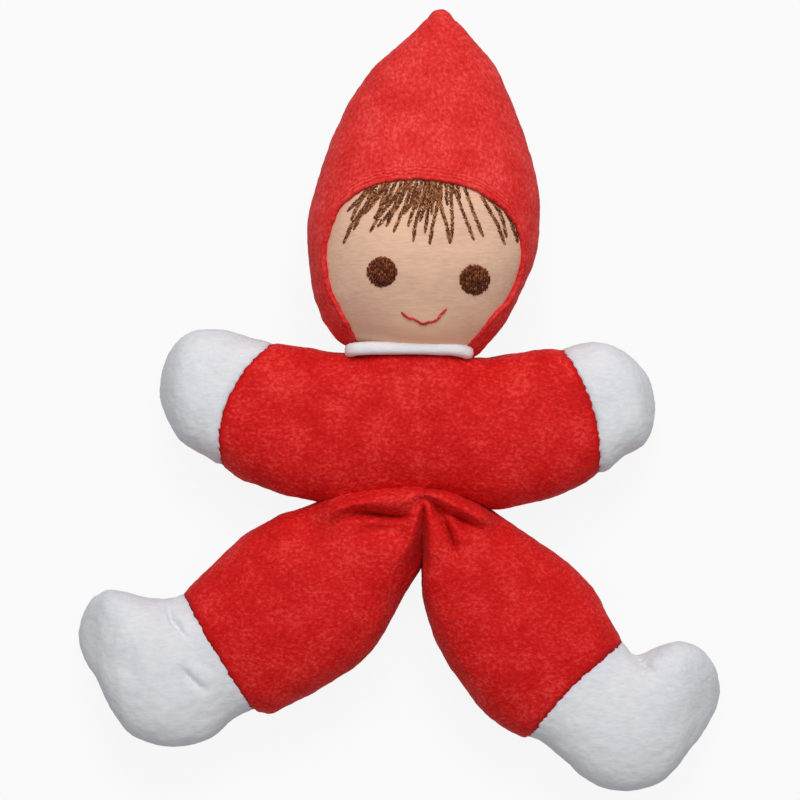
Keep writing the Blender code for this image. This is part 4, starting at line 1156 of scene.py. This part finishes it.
# Each ring of a stitch: how far along it lies, how thick it is, how high it lies in thread radii
STITCH_SHARES = ((0.0, 0.35, -0.9), (0.18, 0.85, 0.25), (0.5, 1.0, 0.8), (0.82, 0.85, 0.25),
                 (1.0, 0.35, -0.9))
STITCH_SIDES = 6


def stitch(surface, start, end, radius, lift=1.0, shade=0.5):
    """One satin stitch between two spots: its points, its faces and its shade."""
    start, end = np.array(start, float), np.array(end, float)
    spots = [start + (end - start) * share for share, _, _ in STITCH_SHARES]
    line = on_cloth(surface, spots, [rise * radius * lift for _, _, rise in STITCH_SHARES])
    ahead = unit(line[-1] - line[0])
    beside = unit(np.cross(ahead, (0.0, 0.0, 1.0)))
    up = np.cross(beside, ahead)
    side, rise = section_round(STITCH_SIDES)
    ring = side[:, None] * beside + rise[:, None] * up
    rings = [place + radius * thick * ring for place, (_, thick, _) in zip(line, STITCH_SHARES)]
    points = np.concatenate([line[:1], *rings, line[-1:]])
    last = len(points) - 1
    step = np.arange(STITCH_SIDES)
    after = (step + 1) % STITCH_SIDES
    faces = (grid_faces(len(rings), STITCH_SIDES) + 1).tolist()
    faces += np.stack((0 * step, 1 + after, 1 + step), axis=-1).tolist()
    ring_start = last - STITCH_SIDES
    faces += np.stack((0 * step + last, ring_start + step, ring_start + after), axis=-1).tolist()
    return points, faces, shade


def stitched_mesh(stitches):
    """A mesh of many stitches, each with its own shade of the thread."""
    points, faces, shades = [], [], []
    for some_points, some_faces, shade in stitches:
        faces.extend([len(points) + v for v in face] for face in some_faces)
        points.extend(some_points)
        shades.extend([shade] * len(some_points))
    return new_mesh(points, faces, stitch_shade=shades)


# Eyes
# Each eye is a round spot of dense upright satin stitches in very dark brown thread, over a
# bed of flat ones.
EYE_SPOTS = {"left": (382.0, 271.5), "right": (474.5, 279.5)}
EYE_RADIUS_SPOTS = 14.9
EYE_MARGIN = 0.9
EYE_COLUMN = 1.9
EYE_STITCH = 6.5
EYE_STITCH_SHARES = (0.75, 1.2)
EYE_STITCH_APART = 0.86
EYE_OVERSHOOT = 0.6
EYE_RAGGED = (-0.5, 0.8)
EYE_THREAD_SHARES = (0.85, 1.1)
BED_LIFT = 0.3
EYE_LIFT = 1.4
# How light a stitch is, at most: by chance, and by its place above the low edge, a painted highlight that
# grows towards the top of the eye, where the lamp is
CHANCE_SHADE = 0.65
PAINTED_TOP_HIGHLIGHT = 0.35


def eye_stitches(centre, seed):
    """Columns of upright stitches that fill a round spot, over a bed of flat ones."""
    scatter = np.random.default_rng(seed)
    made = []
    for first_gap, lift in ((1.0, BED_LIFT), (EYE_STITCH, EYE_LIFT)):
        for column in np.arange(EYE_MARGIN - EYE_RADIUS_SPOTS, EYE_RADIUS_SPOTS, EYE_COLUMN):
            half = math.sqrt(EYE_RADIUS_SPOTS**2 - column**2) + scatter.uniform(*EYE_RAGGED)
            down = -half - scatter.uniform(0.0, first_gap)
            while down < half - 1.0:
                length = EYE_STITCH * scatter.uniform(*EYE_STITCH_SHARES)
                shift = scatter.uniform(-EYE_OVERSHOOT, EYE_OVERSHOOT)
                top = (centre[0] + column + shift, centre[1] + max(down, -half))
                foot_down = min(down + length, half + EYE_OVERSHOOT)
                foot = (centre[0] + column - 0.5 * shift, centre[1] + foot_down)
                # Painted highlight: stitches higher in the eye are lighter.
                highlight_share = 0.5 - 0.5 * (top[1] - centre[1]) / EYE_RADIUS_SPOTS
                shade = scatter.uniform(0.0, CHANCE_SHADE) + PAINTED_TOP_HIGHLIGHT * highlight_share
                made.append(stitch(face_surface, top, foot, THREAD * scatter.uniform(*EYE_THREAD_SHARES),
                                   lift, shade))
                down += length * EYE_STITCH_APART
    return made


for number, (side, spot) in enumerate(EYE_SPOTS.items()):
    eye = piece("stitched_eye_" + side, stitched_mesh(eye_stitches(spot, 11 + number)),
                eye_thread)
    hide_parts("eye_" + side)
    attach(eye, "head")

# Mouth
# A narrow smile in backstitch, in dark red thread.
MOUTH_SPOTS = (
    (402.0, 312.6), (407.6, 317.6), (413.0, 318.4), (418.2, 321.4), (422.8, 324.0), (428.5, 322.0),
    (433.5, 321.2), (438.0, 318.6), (440.5, 314.2), (446.0, 309.4),
)
# The lightest of these is a painted highlight of the shiny thread.
MOUTH_DARK = (0.34, 0.008, 0.014)
MOUTH_RED = (0.60, 0.018, 0.032)
MOUTH_HIGHLIGHT = (0.74, 0.10, 0.10)
MOUTH_OVERLAP = 0.28
MOUTH_THREAD_SHARES = (1.1, 1.5)
MOUTH_SHADES = (0.2, 0.9)
STITCH_LIFT = 1.1
mouth_thread = thread_material("doll_mouth_thread", MOUTH_DARK, MOUTH_RED, MOUTH_HIGHLIGHT)
scatter = np.random.default_rng(3)
mouth_stitches = []
for first, second in zip(np.array(MOUTH_SPOTS), np.array(MOUTH_SPOTS[1:])):
    reach = (second - first) * MOUTH_OVERLAP
    radius = THREAD * scatter.uniform(*MOUTH_THREAD_SHARES)
    mouth_stitches.append(stitch(face_surface, first - reach, second + reach, radius, STITCH_LIFT,
                                 scatter.uniform(*MOUTH_SHADES)))
mouth = piece("stitched_smile", stitched_mesh(mouth_stitches), mouth_thread)
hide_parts("mouth")
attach(mouth, "head")

# Fringe
# Some twenty strands of hair, each a braid of short slanted stitches that narrows to its tip.
# They start under the hood, where they lie so close that little of the face shows.
STRANDS = (
    ((379, 181), (362, 197), (347.3, 211.5)), ((384.6, 185), (366, 206), (354.7, 220), (343.4, 244)),
    ((379, 189), (366.3, 204), (353.6, 230.5)), ((389, 184), (378, 198), (364.9, 214)),
    ((402, 186), (391, 202), (378, 218), (370, 232.5)), ((404, 192), (391, 211), (377.1, 227.2)),
    ((408, 183), (400, 202), (391, 216), (386.2, 227.2)), ((413, 185), (404, 208), (393.2, 232.6)),
    ((417, 184), (411, 204), (403.3, 214.5)), ((421, 184), (414, 207), (407.6, 227)),
    ((426, 183), (420, 208), (415, 226), (413.4, 242)), ((429, 186), (424.5, 207), (419.8, 222)),
    ((433, 183), (429, 202), (426.8, 219), (424.8, 233.5)),
    ((438, 183), (437.5, 204), (433, 224), (429.5, 244.5)),
    ((441, 183), (441.5, 208), (446.8, 226), (449.6, 244)), ((452, 184), (474, 240.5)),
    ((464, 186), (471, 206), (483.3, 237)), ((480, 194), (489, 210), (497, 224), (504.8, 245.2)),
    ((500, 202), (509.5, 219), (518, 243)),
)
EXTRA_STRANDS = (
    ((450, 183), (451.5, 206), (452.3, 226), (450.6, 243)),
    ((486, 196), (497, 208), (503.5, 223), (506.3, 238)),
    ((436, 182), (433, 200), (431.5, 215)), ((395, 184), (384, 203), (374, 219)),
    ((373, 186), (360, 202), (351, 221)), ((383, 186), (370, 205), (360.5, 217)),
)
ROOT_STRANDS = (
    ((374, 181), (360, 199)), ((380, 180), (367, 200)), ((386, 179), (373, 203)), ((392, 178), (380, 206)),
    ((398, 177), (386, 206)), ((403, 177), (393, 212)), ((408, 176), (398, 206)), ((413, 176), (404, 212)),
    ((418, 176), (410, 208)), ((423, 176), (416, 210)), ((427, 176), (422, 207)), ((432, 176), (428, 208)),
    ((436, 177), (434, 203)), ((441, 178), (440, 200)), ((446, 179), (447, 206)), ((456, 181), (460, 199)),
    ((389, 178), (383, 192)), ((410, 176), (406, 192)), ((429, 176), (427, 192)), ((451, 180), (453, 194)),
)
STRAND_HALF_WIDTH = 2.15
STRAND_WIDTH_SHARES = (0.7, 1.15)
# A strand narrows to this share of its width over the last part of it.
STRAND_TIP_SHARE = 0.3
STRAND_TIP = 12.0
STITCH_STEP = 1.5
STITCH_REACH = (4.2, 5.8)
SLANT_SHARES = (0.0, 0.7)
HAIR_THREAD = 0.00024
HAIR_THREAD_SHARES = (0.85, 1.2)


def strand_stitches(spots, scatter):
    """The braid of slanted stitches of one strand, from its root to its tip."""
    path = smooth_path(spots, 60)
    way = lengths_along(path)
    made = []
    for number, gone in enumerate(np.arange(0.0, way[-1] - 1.6, STITCH_STEP)):
        reach = min(gone + scatter.uniform(*STITCH_REACH), way[-1] + 0.6)
        start, end = places_along(path, way, np.array((gone, reach)))
        ahead = unit(end - start)
        beside = np.array((-ahead[1], ahead[0])) * (1.0 if number % 2 else -1.0)
        narrow = min(1.0, (way[-1] - gone) / STRAND_TIP + STRAND_TIP_SHARE)
        apart = STRAND_HALF_WIDTH * narrow * scatter.uniform(*STRAND_WIDTH_SHARES)
        start = start + beside * apart
        end = end - beside * apart * scatter.uniform(*SLANT_SHARES)
        radius = HAIR_THREAD * scatter.uniform(*HAIR_THREAD_SHARES)
        made.append(stitch(face_surface, start, end, radius, STITCH_LIFT, scatter.uniform(0.0, 1.0)))
    return made


scatter = np.random.default_rng(5)
for number, spots in enumerate(STRANDS, 1):
    strand = piece(f"fringe_strand_{number:02d}", stitched_mesh(strand_stitches(spots, scatter)),
                   brown_thread)
    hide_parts(f"hair_strand_{number:02d}")
    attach(strand, "head")
root_stitches = []
for spots in EXTRA_STRANDS + ROOT_STRANDS:
    root_stitches.extend(strand_stitches(spots, scatter))
roots = piece("fringe_roots", stitched_mesh(root_stitches), brown_thread)
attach(roots, "head")

# Gathering stitch
# A few turns of red thread between the legs draw the cloth together and hold the gather.
GATHER_SPOTS = (((419.5, 494.0), (424.5, 497.5)), ((425.0, 493.5), (420.5, 498.0)),
                ((422.0, 491.5), (422.6, 499.0)))
# The lightest of these is a painted highlight of the shiny thread.
GATHER_DARK = (0.45, 0.006, 0.006)
GATHER_RED = (0.70, 0.024, 0.020)
GATHER_HIGHLIGHT = (0.85, 0.10, 0.09)
gather_thread = thread_material("doll_gather_thread", GATHER_DARK, GATHER_RED, GATHER_HIGHLIGHT)
gather_surface = surface_of("body_and_sleeve_left", "body_and_sleeve_right", "leg_left", "leg_right")
gather_stitches = [stitch(gather_surface, first, second, THREAD) for first, second in GATHER_SPOTS]
gather = piece("gathering_stitch", stitched_mesh(gather_stitches), gather_thread)
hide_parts("hip_stitch")
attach(gather, "torso")

# Table
# A plain white table top, which keeps the soft shadow of the doll. It looks evenly white to
# the camera, and gives the doll the light that white paper gives back.
FLOOR_HALF = 1.5
PAPER_GREY = (0.62, 0.62, 0.62)
PAPER_ROUGHNESS = 0.9
PAPER_WHITE = 0.90
corners = [(x * FLOOR_HALF, y * FLOOR_HALF, 0.0) for x, y in ((-1, -1), (1, -1), (1, 1), (-1, 1))]
table_top = bpy.data.objects.new("table_top", new_mesh(corners, [(0, 1, 2, 3)]))
bpy.context.scene.collection.objects.link(table_top)
paper = bpy.data.materials.new("table_white")
paper.use_nodes = True
paper_tree = paper.node_tree
paper_shader = filled(paper_tree, paper_tree.nodes["Principled BSDF"], {
    "Base Color": PAPER_GREY, "Roughness": PAPER_ROUGHNESS})
glow = node_in(paper_tree, "ShaderNodeEmission", {"Color": (1.0, 1.0, 1.0), "Strength": 1.0})
ray = node_in(paper_tree, "ShaderNodeLightPath").outputs
seen = combined(paper_tree, "MAXIMUM", ray["Is Camera Ray"], ray["Is Glossy Ray"])
seen = combined(paper_tree, "MAXIMUM", seen, ray["Is Transmission Ray"])
mixed = node_in(paper_tree, "ShaderNodeMixShader", {
    0: combined(paper_tree, "MULTIPLY", seen, PAPER_WHITE),
    1: paper_shader.outputs["BSDF"], 2: glow.outputs[0]})
filled(paper_tree, paper_tree.nodes["Material Output"], {"Surface": mixed.outputs[0]})
table_top.data.materials.append(paper)

# Light and camera
# A broad soft lamp above the head end of the doll, an even white surround, and the camera
# straight above the table.
SURROUND_STRENGTH = 0.38
LAMP_PLACE = (0.06, 0.65, 1.09)
LAMP_AIM = (0.0, 0.02, 0.02)
LAMP_SIZE = 0.7
LAMP_POWER = 10.6
SENSOR_MM = 36.0
world = bpy.data.worlds.new("studio")
world.use_nodes = True
filled(world.node_tree, world.node_tree.nodes["Background"], {
    "Color": (1.0, 1.0, 1.0), "Strength": SURROUND_STRENGTH})
bpy.context.scene.world = world

lamp_data = bpy.data.lights.new("soft_lamp", "AREA")
lamp_data.shape = "DISK"
lamp_data.size = LAMP_SIZE
lamp_data.energy = LAMP_POWER
lamp = bpy.data.objects.new("soft_lamp", lamp_data)
lamp.location = LAMP_PLACE
lamp.rotation_euler = (Vector(LAMP_AIM) - Vector(LAMP_PLACE)).to_track_quat("-Z", "Y").to_euler()
bpy.context.scene.collection.objects.link(lamp)

camera_data = bpy.data.cameras.new("overhead_camera")
camera_data.sensor_width = SENSOR_MM
camera_data.lens = SENSOR_MM * CAMERA_DISTANCE / (PHOTO_SIZE * PIXEL)
camera = bpy.data.objects.new("overhead_camera", camera_data)
camera.location = (*PHOTO_MIDDLE, MIDDLE_HEIGHT + CAMERA_DISTANCE)
bpy.context.scene.collection.objects.link(camera)
bpy.context.scene.camera = camera
bpy.context.scene.view_settings.view_transform = "Standard"
